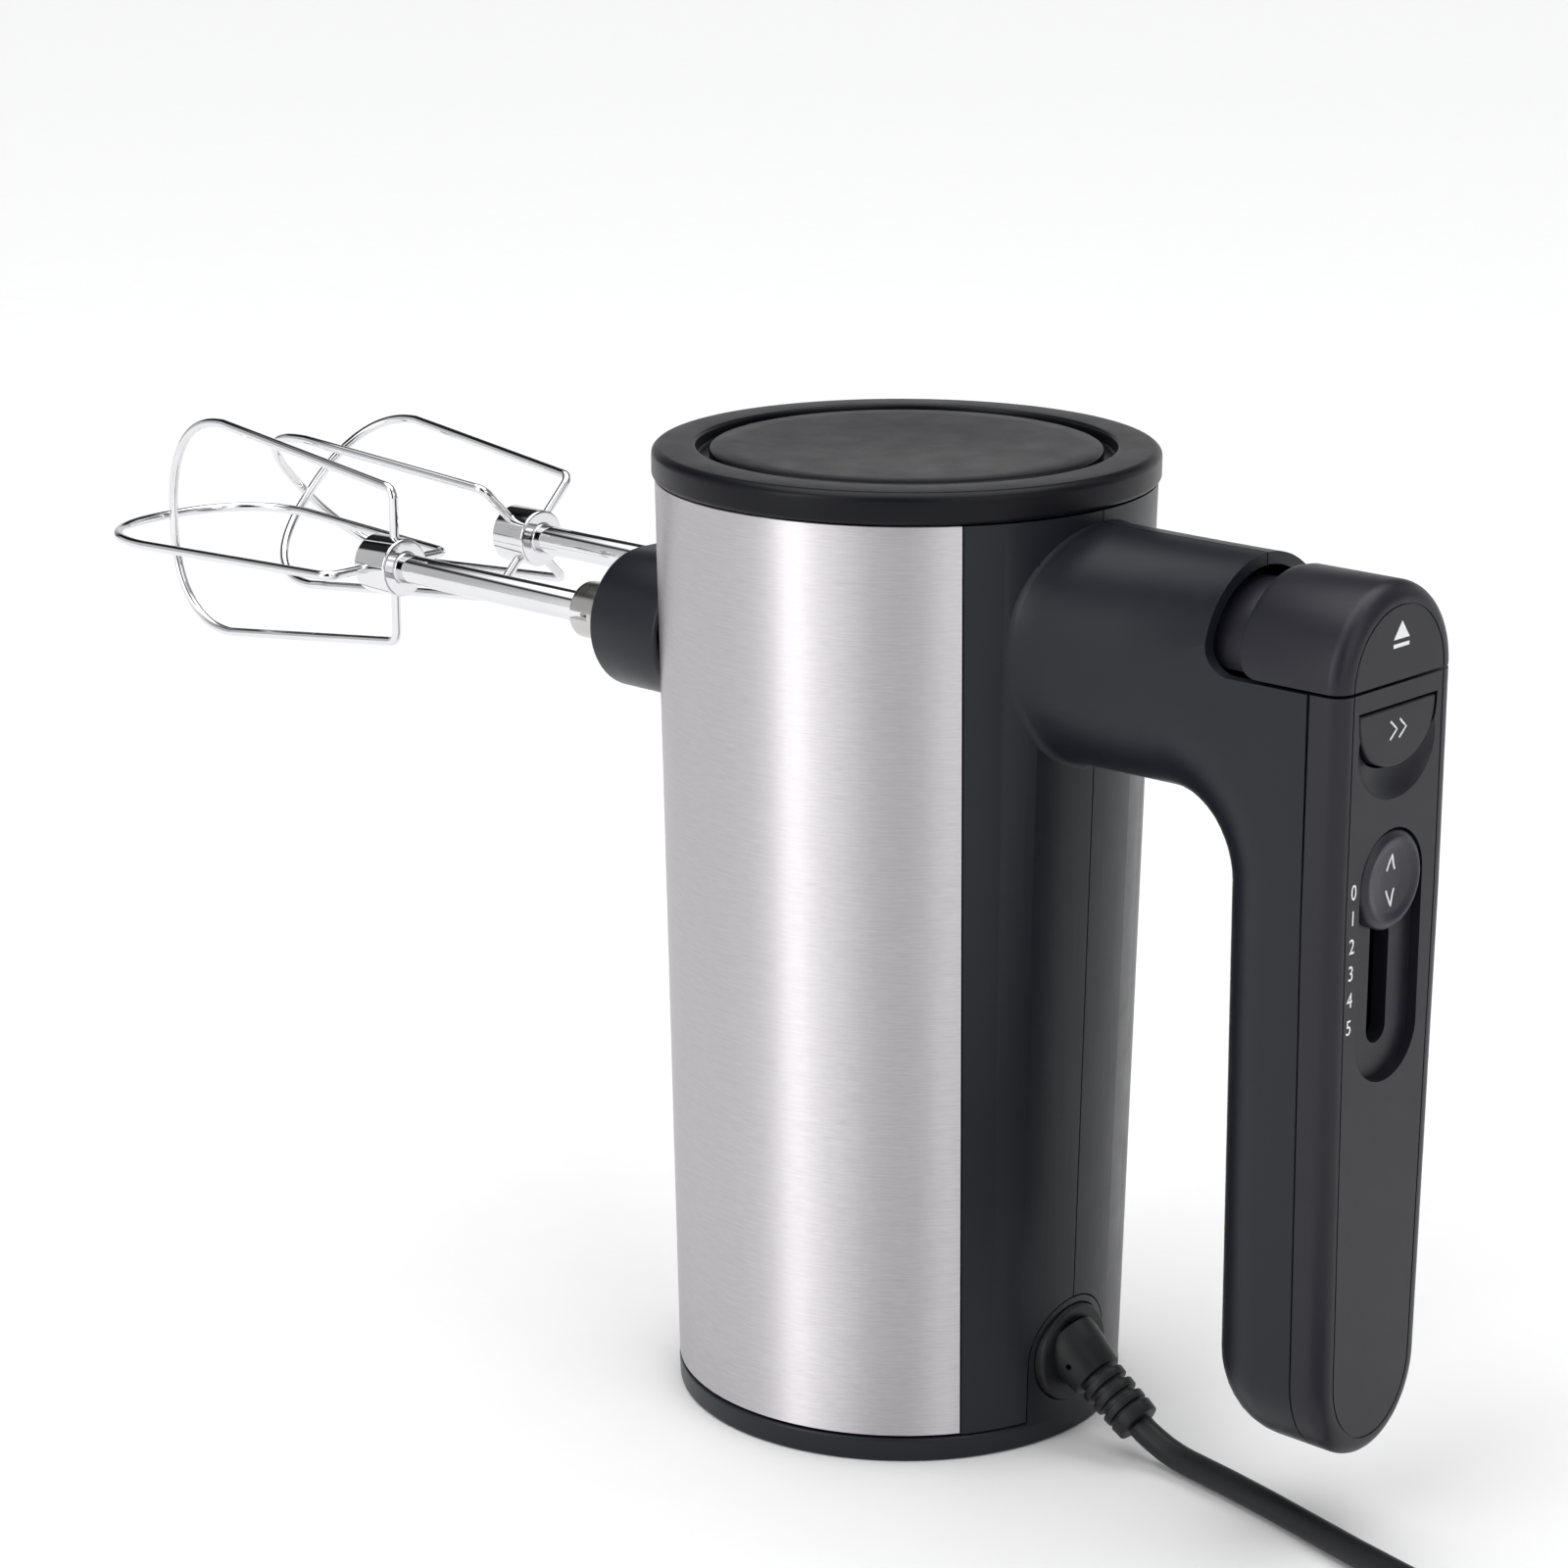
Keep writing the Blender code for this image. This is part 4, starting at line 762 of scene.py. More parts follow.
def elbow_rings(wall):
    rings = []
    rear = PANEL_Y - ELBOW_Y - REAR_INSET
    for degrees in range(6, 91, 6):
        angle = math.radians(degrees)
        direction = (math.sin(angle), math.cos(angle))
        foot = (ELBOW_Y + ELBOW_R * direction[0], ELBOW_Z + ELBOW_R * direction[1])
        up = (ARM_TOP_Z - ELBOW_Z) / direction[1] if degrees < 90 else 1.0
        length = min(up, rear / direction[0]) - ELBOW_R
        share = degrees / 90
        inner_b = ARM_UNDER_DEPTH + (GRIP_FRONT_DEPTH - ARM_UNDER_DEPTH) * share
        outer_b = ARM_OVER_DEPTH * min(max(1.5 - degrees / 30, 0), 1)
        half_w = ARM_END_HALF_W + (GRIP_TOP_HALF_W - ARM_END_HALF_W) * share
        rings.append(section(foot, direction, half_w, inner_b, outer_b, length, wall))
    return rings


def grip_rings(wall):
    rings = []
    rear = PANEL_Y - REAR_INSET
    for z in (0.104, 0.080, 0.057, GRIP_END_Z):
        half_w = grip_half_width(z)
        length = rear - GRIP_FRONT_Y
        rings.append(section((GRIP_FRONT_Y, z), (1, 0), half_w, GRIP_FRONT_DEPTH, 0, length, wall))
    for degrees in (8, 16, 24, 32, 40, 48, 56, 64, 72, 79, 86):
        across = math.cos(math.radians(degrees))
        z = GRIP_END_Z - (GRIP_END_DROP - wall) * math.sin(math.radians(degrees))
        half_w = (GRIP_END_HALF_W - wall) * across + wall
        depth = (GRIP_FRONT_DEPTH - wall) * across + wall
        front = GRIP_FRONT_Y + GRIP_FRONT_DEPTH - depth
        rings.append(section((front, z), (1, 0), half_w, depth, 0, rear - front, wall))
    return rings


def handle_solid(name, wall):
    return loft(name, arm_rings(wall) + elbow_rings(wall) + grip_rings(wall))


def cover_outline(grow, top_z):
    """The handle's back, seen along Y: tapered sides and a round lower end."""
    top_w = grip_half_width(top_z) + grow
    end_w = GRIP_END_HALF_W + grow
    drop = GRIP_END_DROP + grow
    low = []
    for i in range(49):
        angle = math.pi * i / 48
        low.append((-end_w * math.cos(angle), GRIP_END_Z - drop * math.sin(angle)))
    elbow_w = GRIP_TOP_HALF_W + grow
    return low + [(elbow_w, ELBOW_Z), (top_w, top_z), (-top_w, top_z), (-elbow_w, ELBOW_Z)]


def notch_outline():
    corner = (NOTCH_Y + NOTCH_R, NOTCH_Z + NOTCH_R)
    return arc(corner, NOTCH_R, 180, 270, 14) + [(0.130, NOTCH_Z), (0.130, 0.200), (NOTCH_Y, 0.200)]


# The three screws that hold the halves together: (y, z).
SCREW_PLACES = ((0.098, 0.045), (0.0905, 0.1515), (0.058, 0.1470))
SCREW_HEAD_X = -0.0090


def housing_cutters():
    neck = ((0, 0.078, EJECT_AXIS_Z), (0, 0.130, EJECT_AXIS_Z))
    cutters = [
        box("rear_cut", (-0.03, COVER_SEAM_Y, 0.0), (0.03, 0.14, 0.20)),
        extruded("notch", notch_outline(), -0.03, 0.03, "YZ"),
        extruded("arch_cut", arch_outline(GAP), 0.03, 0.06, "XZ"),
        extruded("snout_cut", snout_outline(GAP), -0.06, -0.02, "XZ"),
        cylinder("rod_hole", (0, 0.045, ROD_Z), (0, 0.052, ROD_Z), 0.0031),
        cylinder("neck_hole", *neck, EJECT_NECK_R + 0.0004, 96),
    ]
    for i, (y, z) in enumerate(SCREW_PLACES):
        cutters.append(cylinder(f"head_hole_{i}", (-0.03, y, z), (SCREW_HEAD_X, y, z), 0.0031))
        cutters.append(cylinder(f"screw_hole_{i}", (-0.03, y, z), (0.0115, y, z), 0.0017, 32))
    return cutters


def make_housing():
    low, high = BASE_H, CAP_BOTTOM_Z - GAP
    seat = SLEEVE_T + GAP
    whole = cone_ring("housing_whole", low, high, seat, seat + WALL_T)
    strip = cone_ring("strip", low, high, 0.0, seat + WALL_T)
    strip = keep(strip, extruded("strip_outline", strip_outline(0.0), 0.02, 0.06, "XZ"))
    whole = join(whole, strip, handle_solid("handle_solid", 0.0))
    profile = [
        (0, 0.2),
        (body_radius(0.2) - seat - WALL_T, 0.2),
        (body_radius(-0.01) - seat - WALL_T, -0.01),
        (0, -0.01),
    ]
    inside = turned("body_inside", profile, steps=BODY_STEPS, spin=math.pi / BODY_STEPS)
    whole = cut(whole, inside, handle_solid("handle_inside", HANDLE_WALL))
    ribs = box("spring_rib", (-0.03, 0.0475, 0.158), (0.03, 0.0495, 0.20))
    bosses = []
    for i, (y, z) in enumerate(SCREW_PLACES):
        bosses.append(cylinder(f"boss_{i}", (-0.03, y, z), (0.03, y, z), 0.0042, 32))
    ribs = keep(join(ribs, *bosses), handle_solid("rib_limit", HANDLE_WALL / 2))
    whole = cut(join(whole, ribs), *housing_cutters())
    for name, side in (("housing_left", 1), ("housing_right", -1)):
        half = linked(name + "_look", whole.data.copy())
        edges = sorted((side * GAP / 2, -side * 0.06))
        half = cut(half, box("other_side", (edges[0], -0.07, -0.02), (edges[1], 0.14, 0.22)))
        piece(rounded(half, 0.00018, 2, 50), "body", "body_shell", name)
    bpy.data.objects.remove(whole, do_unlink=True)


def track_outline(grow):
    radius = TRACK_R + grow
    return arc((0, KNOB_Z), radius, 0, 180, 40) + arc((0, 0.1004), radius, 180, 360, 40)


def slot_outline():
    top, bottom = KNOB_Z + 0.0045, KNOB_Z - KNOB_TRAVEL - 0.0030
    return arc((0, top), SLOT_HALF_W, 0, 180, 20) + arc((0, bottom), SLOT_HALF_W, 180, 360, 20)


def turbo_outline(grow):
    """A flat top over a half ellipse."""
    half_w = TURBO_HALF_W + grow
    drop = TURBO_TOP_Z - TURBO_BOTTOM_Z + grow
    top = TURBO_TOP_Z + grow
    points = [(half_w, top), (-half_w, top)]
    for i in range(1, 36):
        angle = math.pi * i / 36
        points.append((-half_w * math.cos(angle), top - (drop + grow) * math.sin(angle) ** 0.8))
    return points


def scoop():
    """A shallow dish below the turbo button that lets a thumb reach it."""
    bm = bmesh.new()
    bmesh.ops.create_uvsphere(bm, u_segments=64, v_segments=32, radius=1.0)
    place = Matrix.Translation((0, PANEL_Y + 0.0012, 0.1535))
    bm.transform(place @ Matrix.Diagonal((0.0125, 0.0036, 0.0105, 1)))
    dish = from_bmesh("turbo_scoop", bm)
    return keep(dish, box("scoop_limit", (-0.02, 0.10, 0.13), (0.02, 0.13, 0.1560)))


def rear_edge_bevel(obj):
    """Rounds the rear face's side and bottom edges, but not its flat top edge."""
    bm = bmesh.new()
    bm.from_mesh(obj.data)
    layer = bm.edges.layers.float.new("bevel_weight_edge")
    for edge in bm.edges:
        ends = [vert.co for vert in edge.verts]
        at_rear = all(co.y > PANEL_Y - 0.0001 for co in ends)
        at_top = all(co.z > NOTCH_Z - 0.0001 for co in ends)
        if at_rear and not at_top:
            edge[layer] = 1.0
    bm.to_mesh(obj.data)
    bm.free()
    bevel = obj.modifiers.new("edge", "BEVEL")
    bevel.width = PANEL_EDGE_R
    bevel.segments = 10
    bevel.limit_method = "WEIGHT"
    return as_mesh(obj)


GROOVE_INSET = 0.0039
GROOVE_HALF = 0.00016
GROOVE_DEPTH = 0.00022


def panel_groove():
    """A fine line round the flat panel, a little inside its rounded edge."""
    top = NOTCH_Z + 0.002
    outer = cover_outline(-GROOVE_INSET + GROOVE_HALF, top)
    inner = cover_outline(-GROOVE_INSET - GROOVE_HALF, top + 0.001)
    groove = extruded("groove_outer", outer, PANEL_Y - GROOVE_DEPTH, 0.13, "XZ")
    return cut(groove, extruded("groove_inner", inner, 0.10, 0.14, "XZ"))


def make_rear_cover():
    outline = cover_outline(0.0, NOTCH_Z)
    back = rear_edge_bevel(extruded("rear_cover_look", outline, COVER_SEAM_Y + GAP, PANEL_Y, "XZ"))
    inside = cover_outline(-COVER_WALL, NOTCH_Z - COVER_WALL)
    back = cut(back, extruded("cover_inside", inside, 0.10, 0.1108, "XZ"))
    back = join(back, extruded("track_floor", track_outline(0.0015), 0.1098, PANEL_Y - 0.001, "XZ"))
    back = cut(
        back,
        extruded("track", track_outline(0.0), TRACK_FLOOR_Y, 0.13, "XZ"),
        extruded("slot", slot_outline(), 0.10, 0.13, "XZ"),
        extruded("turbo_hole", turbo_outline(0.0005), 0.10, 0.13, "XZ"),
        scoop(),
        panel_groove(),
    )
    piece(rounded(back, 0.00015, 2, 50), "body", "handle_trim", "handle_rear_cover")


# ---- controls


def eject_corner_outline():
    """What is cut from the button's lower front corner to round it, seen from the side."""
    y = EJECT_FULL_Y + EJECT_CORNER_R
    z = EJECT_AXIS_Z + EJECT_CORNER_R
    low_z = EJECT_AXIS_Z - 0.002
    front_y = 0.0850
    return arc((y, z), EJECT_CORNER_R, 180, 270, 16) + [(y, low_z), (front_y, low_z), (front_y, z)]


def make_eject_button():
    """A turned button with a flat underside. Its profile runs from the neck's front end back."""
    front = -EJECT_START_Y
    rear = -PANEL_Y
    profile = [(0, front), (EJECT_NECK_R, front), (EJECT_NECK_R, -0.0911)]
    profile += arc((EJECT_NECK_R + 0.0001, -0.0931), 0.0020, 90, 60, 3)
    profile += [(0.0162, -0.0917), (0.0171, -0.0924), (EJECT_R, -0.0940)]
    profile += arc((EJECT_R - PANEL_EDGE_R, rear + PANEL_EDGE_R), PANEL_EDGE_R, 0, -90, 12)
    outer = EJECT_R - GROOVE_INSET + GROOVE_HALF
    inner = EJECT_R - GROOVE_INSET - GROOVE_HALF
    bottom = rear + GROOVE_DEPTH
    profile += [(outer, rear), (outer, bottom), (inner, bottom), (inner, rear), (0, rear)]
    button = turned("eject_button_look", profile, (0, 0, EJECT_AXIS_Z), (0, -1, 0), steps=160)
    cutters = [box("eject_flat", (-0.03, 0.07, 0.140), (0.03, 0.13, EJECT_AXIS_Z))]
    for side_name, low, high in (("left", EJECT_NECK_R, 0.03), ("right", -0.03, -EJECT_NECK_R)):
        cutters.append(extruded(f"eject_corner_{side_name}", eject_corner_outline(), low, high, "YZ"))
    cutters.append(box("eject_hollow", (-0.0085, 0.0825, 0.16), (0.0085, 0.1120, 0.1745)))
    piece(rounded(cut(button, *cutters), 0.00015, 2, 50), "ejector", "handle_trim", "eject_button")


def make_turbo():
    button = extruded("turbo_button_look", turbo_outline(0.0), 0.1045, PANEL_Y - 0.0001, "XZ")
    button = cut(button, box("turbo_hollow", (-0.0070, 0.10, 0.1535), (0.0070, 0.1125, 0.1585)))
    piece(rounded(button, 0.00035, 3, 50), "turbo", "handle_trim", "turbo_button")


KNOB_FACE = ((0.0, 0.1146), (0.0030, 0.1147), (0.0060, 0.1151), (0.0074, 0.1156))


def knob_face_y(radius):
    for low, high in zip(KNOB_FACE, KNOB_FACE[1:]):
        if radius <= high[0]:
            share = (radius - low[0]) / (high[0] - low[0])
            return low[1] + (high[1] - low[1]) * share
    return KNOB_FACE[-1][1]


def make_knob():
    knob_y = TRACK_FLOOR_Y + GAP
    rim = [(0.0080, 0.1156), (0.0090, 0.1149), (KNOB_R, 0.1143), (KNOB_R, knob_y)]
    profile = [(r, y - knob_y) for r, y in list(KNOB_FACE) + rim]
    profile = fillet(profile, 0.0004, 4) + [(0, 0)]
    knob = turned("speed_knob_look", profile, (0, knob_y, KNOB_Z), (0, 1, 0), steps=120)
    stem = box("stem", (-0.0024, 0.1050, KNOB_Z - 0.0038), (0.0024, 0.1140, KNOB_Z + 0.0038))
    piece(join(knob, stem), "speed", "knob", "speed_knob")
    for name, sign in (("up", 1), ("down", -1)):
        corners = ((-0.0012, 0.0018), (0.0, 0.0048), (0.0012, 0.0018))
        points = []
        for (x0, z0), (x1, z1) in zip(corners, corners[1:]):
            for i in range(9):
                x = x0 + (x1 - x0) * i / 8
                z = z0 + (z1 - z0) * i / 8
                points.append((x, knob_face_y(math.hypot(x, z)), KNOB_Z + sign * z))
        del points[9]
        piece(tube(f"knob_arrow_{name}", points, 0.00020, 2), "speed", "legend")


def marking(name, text, size, x, z, y):
    """White printed characters that face +Y."""
    curve = bpy.data.curves.new(name, "FONT")
    curve.body = text
    curve.size = size
    curve.extrude = 0.00004
    curve.align_x = "CENTER"
    curve.align_y = "CENTER"
    obj = linked(name, curve)
    turn = Matrix(((-1, 0, 0, 0), (0, 0, 1, 0), (0, 1, 0, 0), (0, 0, 0, 1)))
    obj.matrix_world = Matrix.Translation((x, y, z)) @ turn @ Matrix.Diagonal((0.85, 1.0, 1.0, 1.0))
    return as_mesh(obj)


SPEED_MARKS = (0.1286, 0.1238, 0.1186, 0.1136, 0.1086, 0.1035)


def make_markings():
    for i, z in enumerate(SPEED_MARKS):
        piece(marking(f"speed_mark_{i}", str(i), 0.0040, 0.0115, z, PANEL_Y), "body", "legend")
    top = EJECT_AXIS_Z + 0.0075
    triangle = [(-0.0024, top), (0.0024, top), (0.0, top + 0.0032)]
    bar = [(-0.0024, top - 0.0015), (0.0024, top - 0.0015)]
    bar += [(0.0024, top - 0.0008), (-0.0024, top - 0.0008)]
    for name, outline in (("triangle", triangle), ("bar", bar)):
        mark = extruded(f"eject_mark_{name}", outline, PANEL_Y - 0.0001, PANEL_Y + 0.00004, "XZ")
        piece(mark, "ejector", "legend")
    for i, x in enumerate((-0.0016, 0.0012)):
        corners = ((x + 0.0010, -0.0017), (x - 0.0010, 0.0), (x + 0.0010, 0.0017))
        points = [(a, PANEL_Y - 0.0001, 0.1563 + b) for a, b in corners]
        piece(tube(f"turbo_mark_{i}", points, 0.00020, 2), "turbo", "legend")


# ---- beaters


def loop_points(tip_y, entry_y):
    """Half of a wire loop as (y, radius): out of the hub, along and round to the tip."""
    corner = 0.0025
    points = [(entry_y, HUB_R - 0.001), (entry_y, LOOP_CORNER_R - corner)]
    for i in range(1, 9):
        angle = math.radians(90 * i / 8)
        y = entry_y - corner * (1 - math.cos(angle))
        points.append((y, LOOP_CORNER_R - corner * (1 - math.sin(angle))))
    for share in (0.2, 0.4, 0.6, 0.8):
        y = entry_y - corner + (LOOP_WIDEST_Y - entry_y + corner) * share
        points.append((y, LOOP_CORNER_R + (LOOP_WIDEST_R - LOOP_CORNER_R) * share))
    power = 2 / LOOP_SQUARENESS
    for i in range(29):
        angle = math.radians(90 * i / 28)
        y = LOOP_WIDEST_Y + (tip_y - LOOP_WIDEST_Y) * math.sin(angle) ** power
        points.append((y, LOOP_WIDEST_R * max(math.cos(angle), 0.0) ** power))
    return points


def make_loop(side_name, which, x, degrees, tip_y, entry_y):
    half = loop_points(tip_y, entry_y)
    whole = half + [(y, -r) for y, r in reversed(half[:-1])]
    side = math.cos(math.radians(degrees))
    up = math.sin(math.radians(degrees))
    points = [(x + r * side, y, BEATER_Z + r * up) for y, r in whole]
    name = f"beater_wire_{side_name}_{which}"
    piece(tube(name + "_look", points, WIRE_R, 6), f"beater_{side_name}", "beater_chrome", name)


def make_beater(side_name, x, degrees):
    length = -0.0045 - HUB_REAR_Y
    hub = [(0, HUB_LENGTH), (HUB_R, HUB_LENGTH), (HUB_R, 0), (SHAFT_R, 0), (SHAFT_R, -length + 0.002)]
    profile = fillet(hub, 0.0006) + [(SHAFT_R - 0.0012, -length), (0, -length)]
    name = f"beater_shaft_{side_name}"
    shaft = turned(name + "_look", profile, (x, HUB_REAR_Y, BEATER_Z), (0, -1, 0), steps=72)
    piece(shaft, f"beater_{side_name}", "beater_chrome", name)
    entry = HUB_REAR_Y - 0.0032
    make_loop(side_name, "inner", x, degrees + 90, LOOP_TIP_Y, entry)
    step = 2 * WIRE_R + 0.0004
    make_loop(side_name, "outer", x, degrees, LOOP_TIP_Y - step, entry - step)


def make_spindle(side_name, x):
    front = -SPINDLE_FRONT_Y
    lip = [(SPINDLE_BORE_R, front - 0.004), (SPINDLE_BORE_R + 0.0005, front)]
    lip += [(SPINDLE_R, front), (SPINDLE_R, front - 0.004)]
    profile = fillet(lip, 0.0006) + [(SPINDLE_R, SPINDLE_STEP), (SPINDLE_REAR_R, SPINDLE_STEP)]
    profile += [(SPINDLE_REAR_R, -SPINDLE_REAR_Y), (SPINDLE_BORE_R, -SPINDLE_REAR_Y)]
    name = f"spindle_{side_name}"
    spindle = turned(name + "_look", profile, (x, 0, BEATER_Z), (0, -1, 0), steps=96, ring=True)
    slots = []
    for i, degrees in enumerate((90, 210, 330)):
        slot = box(f"spindle_slot_{i}", (-0.0008, -front - 0.001, 0.002), (0.0008, -front + 0.0052, 0.008))
        turn = Matrix.Rotation(math.radians(degrees), 4, "Y")
        slot.data.transform(Matrix.Translation((x, 0, BEATER_Z)) @ turn)
        slots.append(slot)
    piece(cut(spindle, *slots), f"drive_{side_name}", "machined_steel", name)


def make_snout():
    snout = extruded("beater_snout_look", snout_outline(0.0), SNOUT_FRONT_Y, -0.0400, "XZ")
    snout = as_mesh(rounded(snout, 0.0012, 5, 60))
    cutters = []
    for side in (1, -1):
        x = side * BEATER_X
        cutters.append(cylinder("front_hole", (x, -0.07, BEATER_Z), (x, -0.03, BEATER_Z), 0.0062, 64))
        cutters.append(cylinder("bush_hole", (x, -0.0558, BEATER_Z), (x, -0.03, BEATER_Z), 0.0079, 64))
    piece(rounded(cut(snout, *cutters), 0.0002, 2, 60), "body", "body_shell", "beater_snout")


# ---- mains lead

CORD_AXIS = Vector((0, 0.834, -0.552)).normalized()
RELIEF_START = Vector((0, 0.0435, 0.0193))
RELIEF_LENGTH = 0.0222


def relief_profile():
    """A taper, then three rings with grooves between them, and a last ring at the end."""
    profile = [(0, 0.0), (0.0066, 0.0), (0.0062, 0.0040), (0.0052, 0.0098)]
    for i in range(3):
        at = 0.0098 + 0.0030 * i
        outer = 0.0049 - 0.0001 * i
        profile += [(0.0038, at), (0.0038, at + 0.0013)]
        profile += [(outer, at + 0.0013), (outer - 0.0001, at + 0.0030)]
    profile += [(0.0038, 0.0188), (0.0038, 0.0195), (0.0047, 0.0195)]
    return profile + [(0.0045, RELIEF_LENGTH), (0, RELIEF_LENGTH)]


def make_gland():
    flange = [(0, 0.0395), (GLAND_R, 0.0395), (GLAND_R, 0.0458), (0.0070, 0.0458), (0, 0.0458)]
    relief = turned("strain_relief_look", fillet(flange, 0.0008), (0, 0, GLAND_Z), (0, 1, 0), steps=96)
    taper = turned("relief_taper", fillet(relief_profile(), 0.0003, 3), RELIEF_START, CORD_AXIS, steps=72)
    relief = join(relief, taper)
    dimple = cylinder("relief_dimple", (0.0064, 0.0490, 0.0168), (0.0030, 0.0485, 0.0168), 0.0006, 24)
    piece(rounded(cut(relief, dimple), 0.00012, 2, 60), "body", "cord_rubber", "cord_strain_relief")


def make_plug():
    """A flat two-pin plug that lies beside the coil, pins along -Y."""
    x, entry_y, z = 0.0950, 0.1504, 0.0072
    half = ((0.0050, 0.0), (0.0085, 0.006), (0.0100, 0.018), (0.0170, 0.028), (0.0170, 0.036))
    outline = [(x - w, entry_y - d) for w, d in half] + [(x + w, entry_y - d) for w, d in reversed(half)]
    plug = extruded("plug_look", outline, FLOOR_GAP, 0.0140, "XY")
    piece(rounded(plug, 0.0016, 5, 35), "body", "cord_rubber", "mains_plug")
    shown = [plug]
    for side_name, side in (("left", 1), ("right", -1)):
        px = x + side * 0.0093
        profile = [(0, -0.0005), (0.0020, -0.0005), (0.0020, 0.0180), (0.0012, 0.0190), (0, 0.0190)]
        pin = turned(f"plug_pin_{side_name}_look", profile, (px, entry_y - 0.0363, z), (0, -1, 0), steps=40)
        piece(pin, "body", "plug_brass", f"plug_pin_{side_name}")
        shown.append(pin)
    return shown


# ---- kept CAD nodes


def dress_cad_nodes():
    slots = {row["node"]: row["material_slot"] for row in frame["record"]["subparts"]}
    for name, obj in frame["nodes"].items():
        if not obj.hide_render:
            shade(obj, LOOKS[slots[name]], CAD_SMOOTH_ANGLE)


# ---- studio and light


def make_floor():
    made, tree, shader = shader_material("floor_look")
    grain = noise(tree, object_point(tree), 60.0, 3.0)
    colour = two_colours(tree, grain, (0.93, 0.93, 0.935), (0.95, 0.95, 0.95))
    surface(tree, shader, colour, between(tree, grain, 0.75, 0.85))
    shader.inputs["Specular IOR Level"].default_value = 0.1
    bumped(tree, shader, grain, 0.05, 0.0002)
    bm = bmesh.new()
    bmesh.ops.create_grid(bm, x_segments=2, y_segments=2, size=8.0)
    floor = from_bmesh("floor", bm)
    floor.data.materials.append(made)


# Brightness of the surroundings by compass direction: (degrees from +X towards +Y, strength).
SURROUNDINGS = (
    (-180, 0.80), (-125, 0.70), (-106, 0.30), (-95, 0.05), (-84, 0.60), (-70, 0.60),
    (-38, 0.56), (-22, 1.00), (-8, 2.10), (4, 1.50), (16, 0.75), (27, 0.06),
    (36, 0.00), (47, 0.00), (55, 0.70), (64, 1.95), (74, 0.55), (84, 0.05),
    (94, 0.75), (112, 0.55), (130, 0.10), (146, 0.25), (165, 0.65), (180, 0.80),
)
# Height in degrees where the dark gap below the overhead light starts, by compass direction.
GAP_STARTS = (
    (-180, 14), (-100, 14), (-74, 20), (-60, 36), (-4, 38), (10, 70),
    (160, 70), (172, 14), (180, 14),
)
GAP_END = 54.0
GAP_SOFTNESS = 7.0
GAP_DARKNESS = 0.96
OVERHEAD_START = 50.0
OVERHEAD_SOFTNESS = 12.0
# Strength of the overhead light by compass direction.
OVERHEAD = (
    (-180, 2.6), (-60, 2.6), (-8, 3.0), (16, 1.4), (30, 0.5), (50, 0.5),
    (70, 1.9), (120, 2.2), (180, 2.6),
)


def by_compass(tree, share, stops):
    """A value that changes with compass direction, read off (degrees, value) stops."""
    ramp = node(tree, "ShaderNodeValToRGB", [("Fac", share)])
    # A new ramp already holds two stops.
    elements = ramp.color_ramp.elements
    largest = max(value for _, value in stops)
    for i, (degrees, value) in enumerate(stops):
        at = (degrees + 180) / 360
        stop = elements[i] if i < 2 else elements.new(at)
        stop.position = at
        stop.color = (value / largest, value / largest, value / largest, 1.0)
    return math_node(tree, "MULTIPLY", ramp.outputs["Color"], largest)


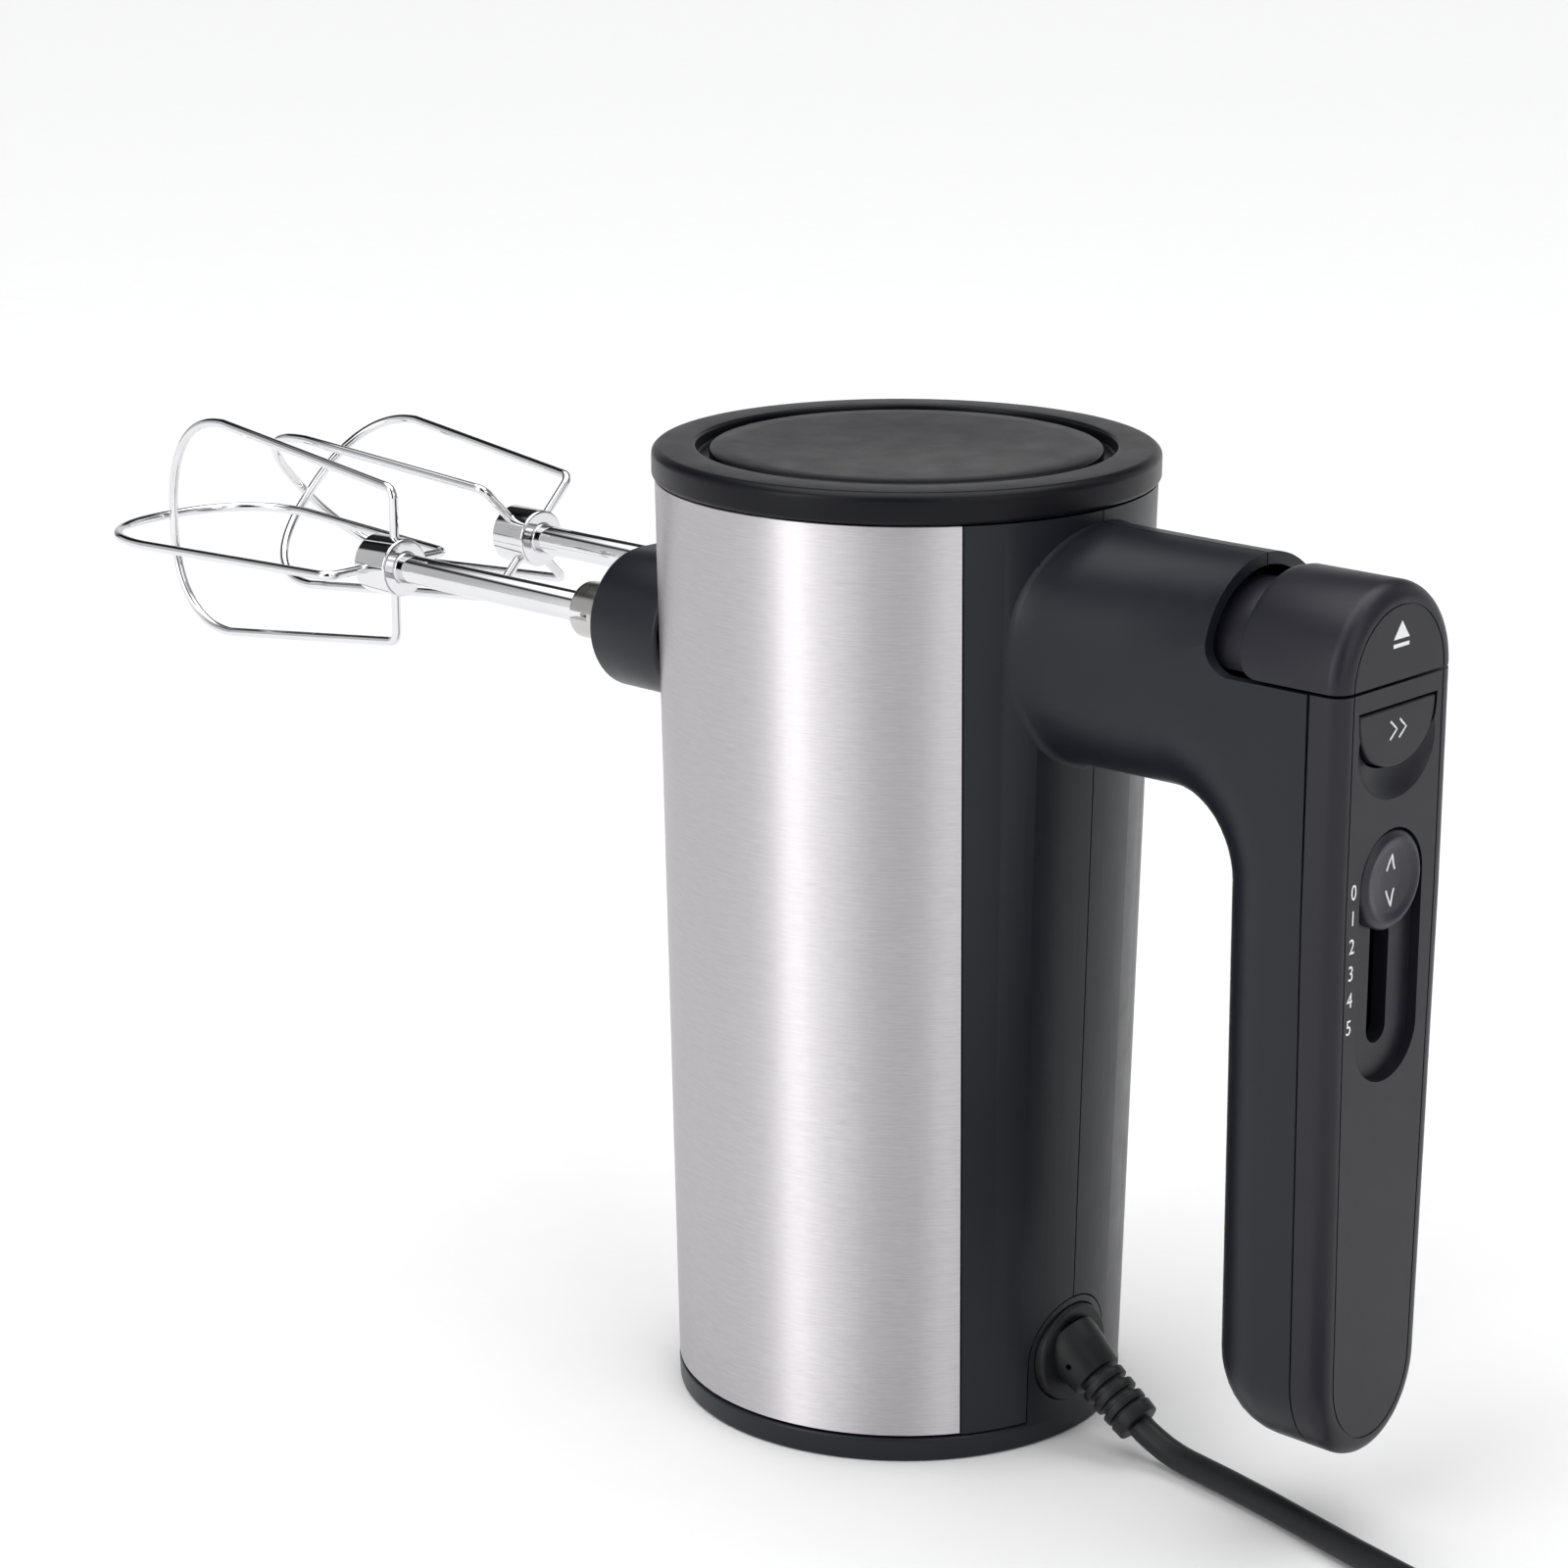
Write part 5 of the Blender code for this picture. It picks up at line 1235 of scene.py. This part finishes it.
def make_world():
    """A studio: soft boxes round the sides, a dark gap above them at the back and an overhead light."""
    world = bpy.data.worlds.new("studio")
    bpy.context.scene.world = world
    world.use_nodes = True
    tree = world.node_tree
    direction = node(tree, "ShaderNodeTexCoord").outputs["Generated"]
    parts = node(tree, "ShaderNodeSeparateXYZ", [("Vector", direction)])
    angle = math_node(tree, "ARCTAN2", parts.outputs["Y"], parts.outputs["X"])
    turn = {"From_Min": -math.pi, "From_Max": math.pi}
    share = node(tree, "ShaderNodeMapRange", [("Value", angle)], **turn).outputs["Result"]
    height = math_node(tree, "ARCSINE", parts.outputs["Z"], None)
    height = math_node(tree, "MULTIPLY", height, math.degrees(1.0))
    sides = by_compass(tree, share, SURROUNDINGS)
    above = math_node(tree, "SUBTRACT", height, by_compass(tree, share, GAP_STARTS))
    above = math_node(tree, "DIVIDE", above, GAP_SOFTNESS, clamp=True)
    below = math_node(tree, "SUBTRACT", GAP_END, height)
    below = math_node(tree, "DIVIDE", below, GAP_SOFTNESS, clamp=True)
    gap = math_node(tree, "MULTIPLY", math_node(tree, "MULTIPLY", above, below), GAP_DARKNESS)
    sides = math_node(tree, "MULTIPLY", sides, math_node(tree, "SUBTRACT", 1.0, gap))
    top = math_node(tree, "SUBTRACT", height, OVERHEAD_START)
    top = math_node(tree, "DIVIDE", top, OVERHEAD_SOFTNESS, clamp=True)
    lower = math_node(tree, "MULTIPLY", sides, math_node(tree, "SUBTRACT", 1.0, top))
    upper = math_node(tree, "MULTIPLY", top, by_compass(tree, share, OVERHEAD))
    background = tree.nodes["Background"]
    tree.links.new(math_node(tree, "ADD", lower, upper), background.inputs["Strength"])
    background.inputs["Color"].default_value = (1.0, 1.0, 1.0, 1.0)


def area_light(name, place, target, size, power):
    light = bpy.data.lights.new(name, "AREA")
    light.shape = "RECTANGLE"
    light.size, light.size_y = size
    light.energy = power
    obj = linked(name, light)
    obj.location = place
    obj.rotation_mode = "QUATERNION"
    obj.rotation_quaternion = (Vector(target) - Vector(place)).to_track_quat("-Z", "Y")


def make_lights():
    area_light("overhead", (-0.15, -0.1, 1.5), (0, 0, 0.1), (1.6, 1.6), 3.5)
    area_light("left_side", (1.3, -0.25, 0.55), (0, 0, 0.1), (0.25, 0.9), 2.6)
    area_light("right_side", (0.15, 1.3, 0.75), (0, 0.05, 0.1), (0.35, 0.8), 1.6)


def main():
    bpy.context.scene.view_settings.view_transform = "Standard"
    make_camera()
    LOOKS.update(make_materials())
    lead, length = make_cord()
    piece(lead, "body", "cord_rubber", "power_cord", "power_cord_coil", "power_cord_end")
    plug_pieces = make_plug()
    make_top()
    make_base()
    make_sleeve()
    make_housing()
    make_rear_cover()
    make_eject_button()
    make_turbo()
    make_knob()
    make_markings()
    make_snout()
    for side_name, side, degrees in (("left", 1, 0), ("right", -1, 45)):
        make_beater(side_name, side * BEATER_X, degrees)
        make_spindle(side_name, side * BEATER_X)
    make_gland()
    dress_cad_nodes()
    make_floor()
    make_world()
    make_lights()


main()
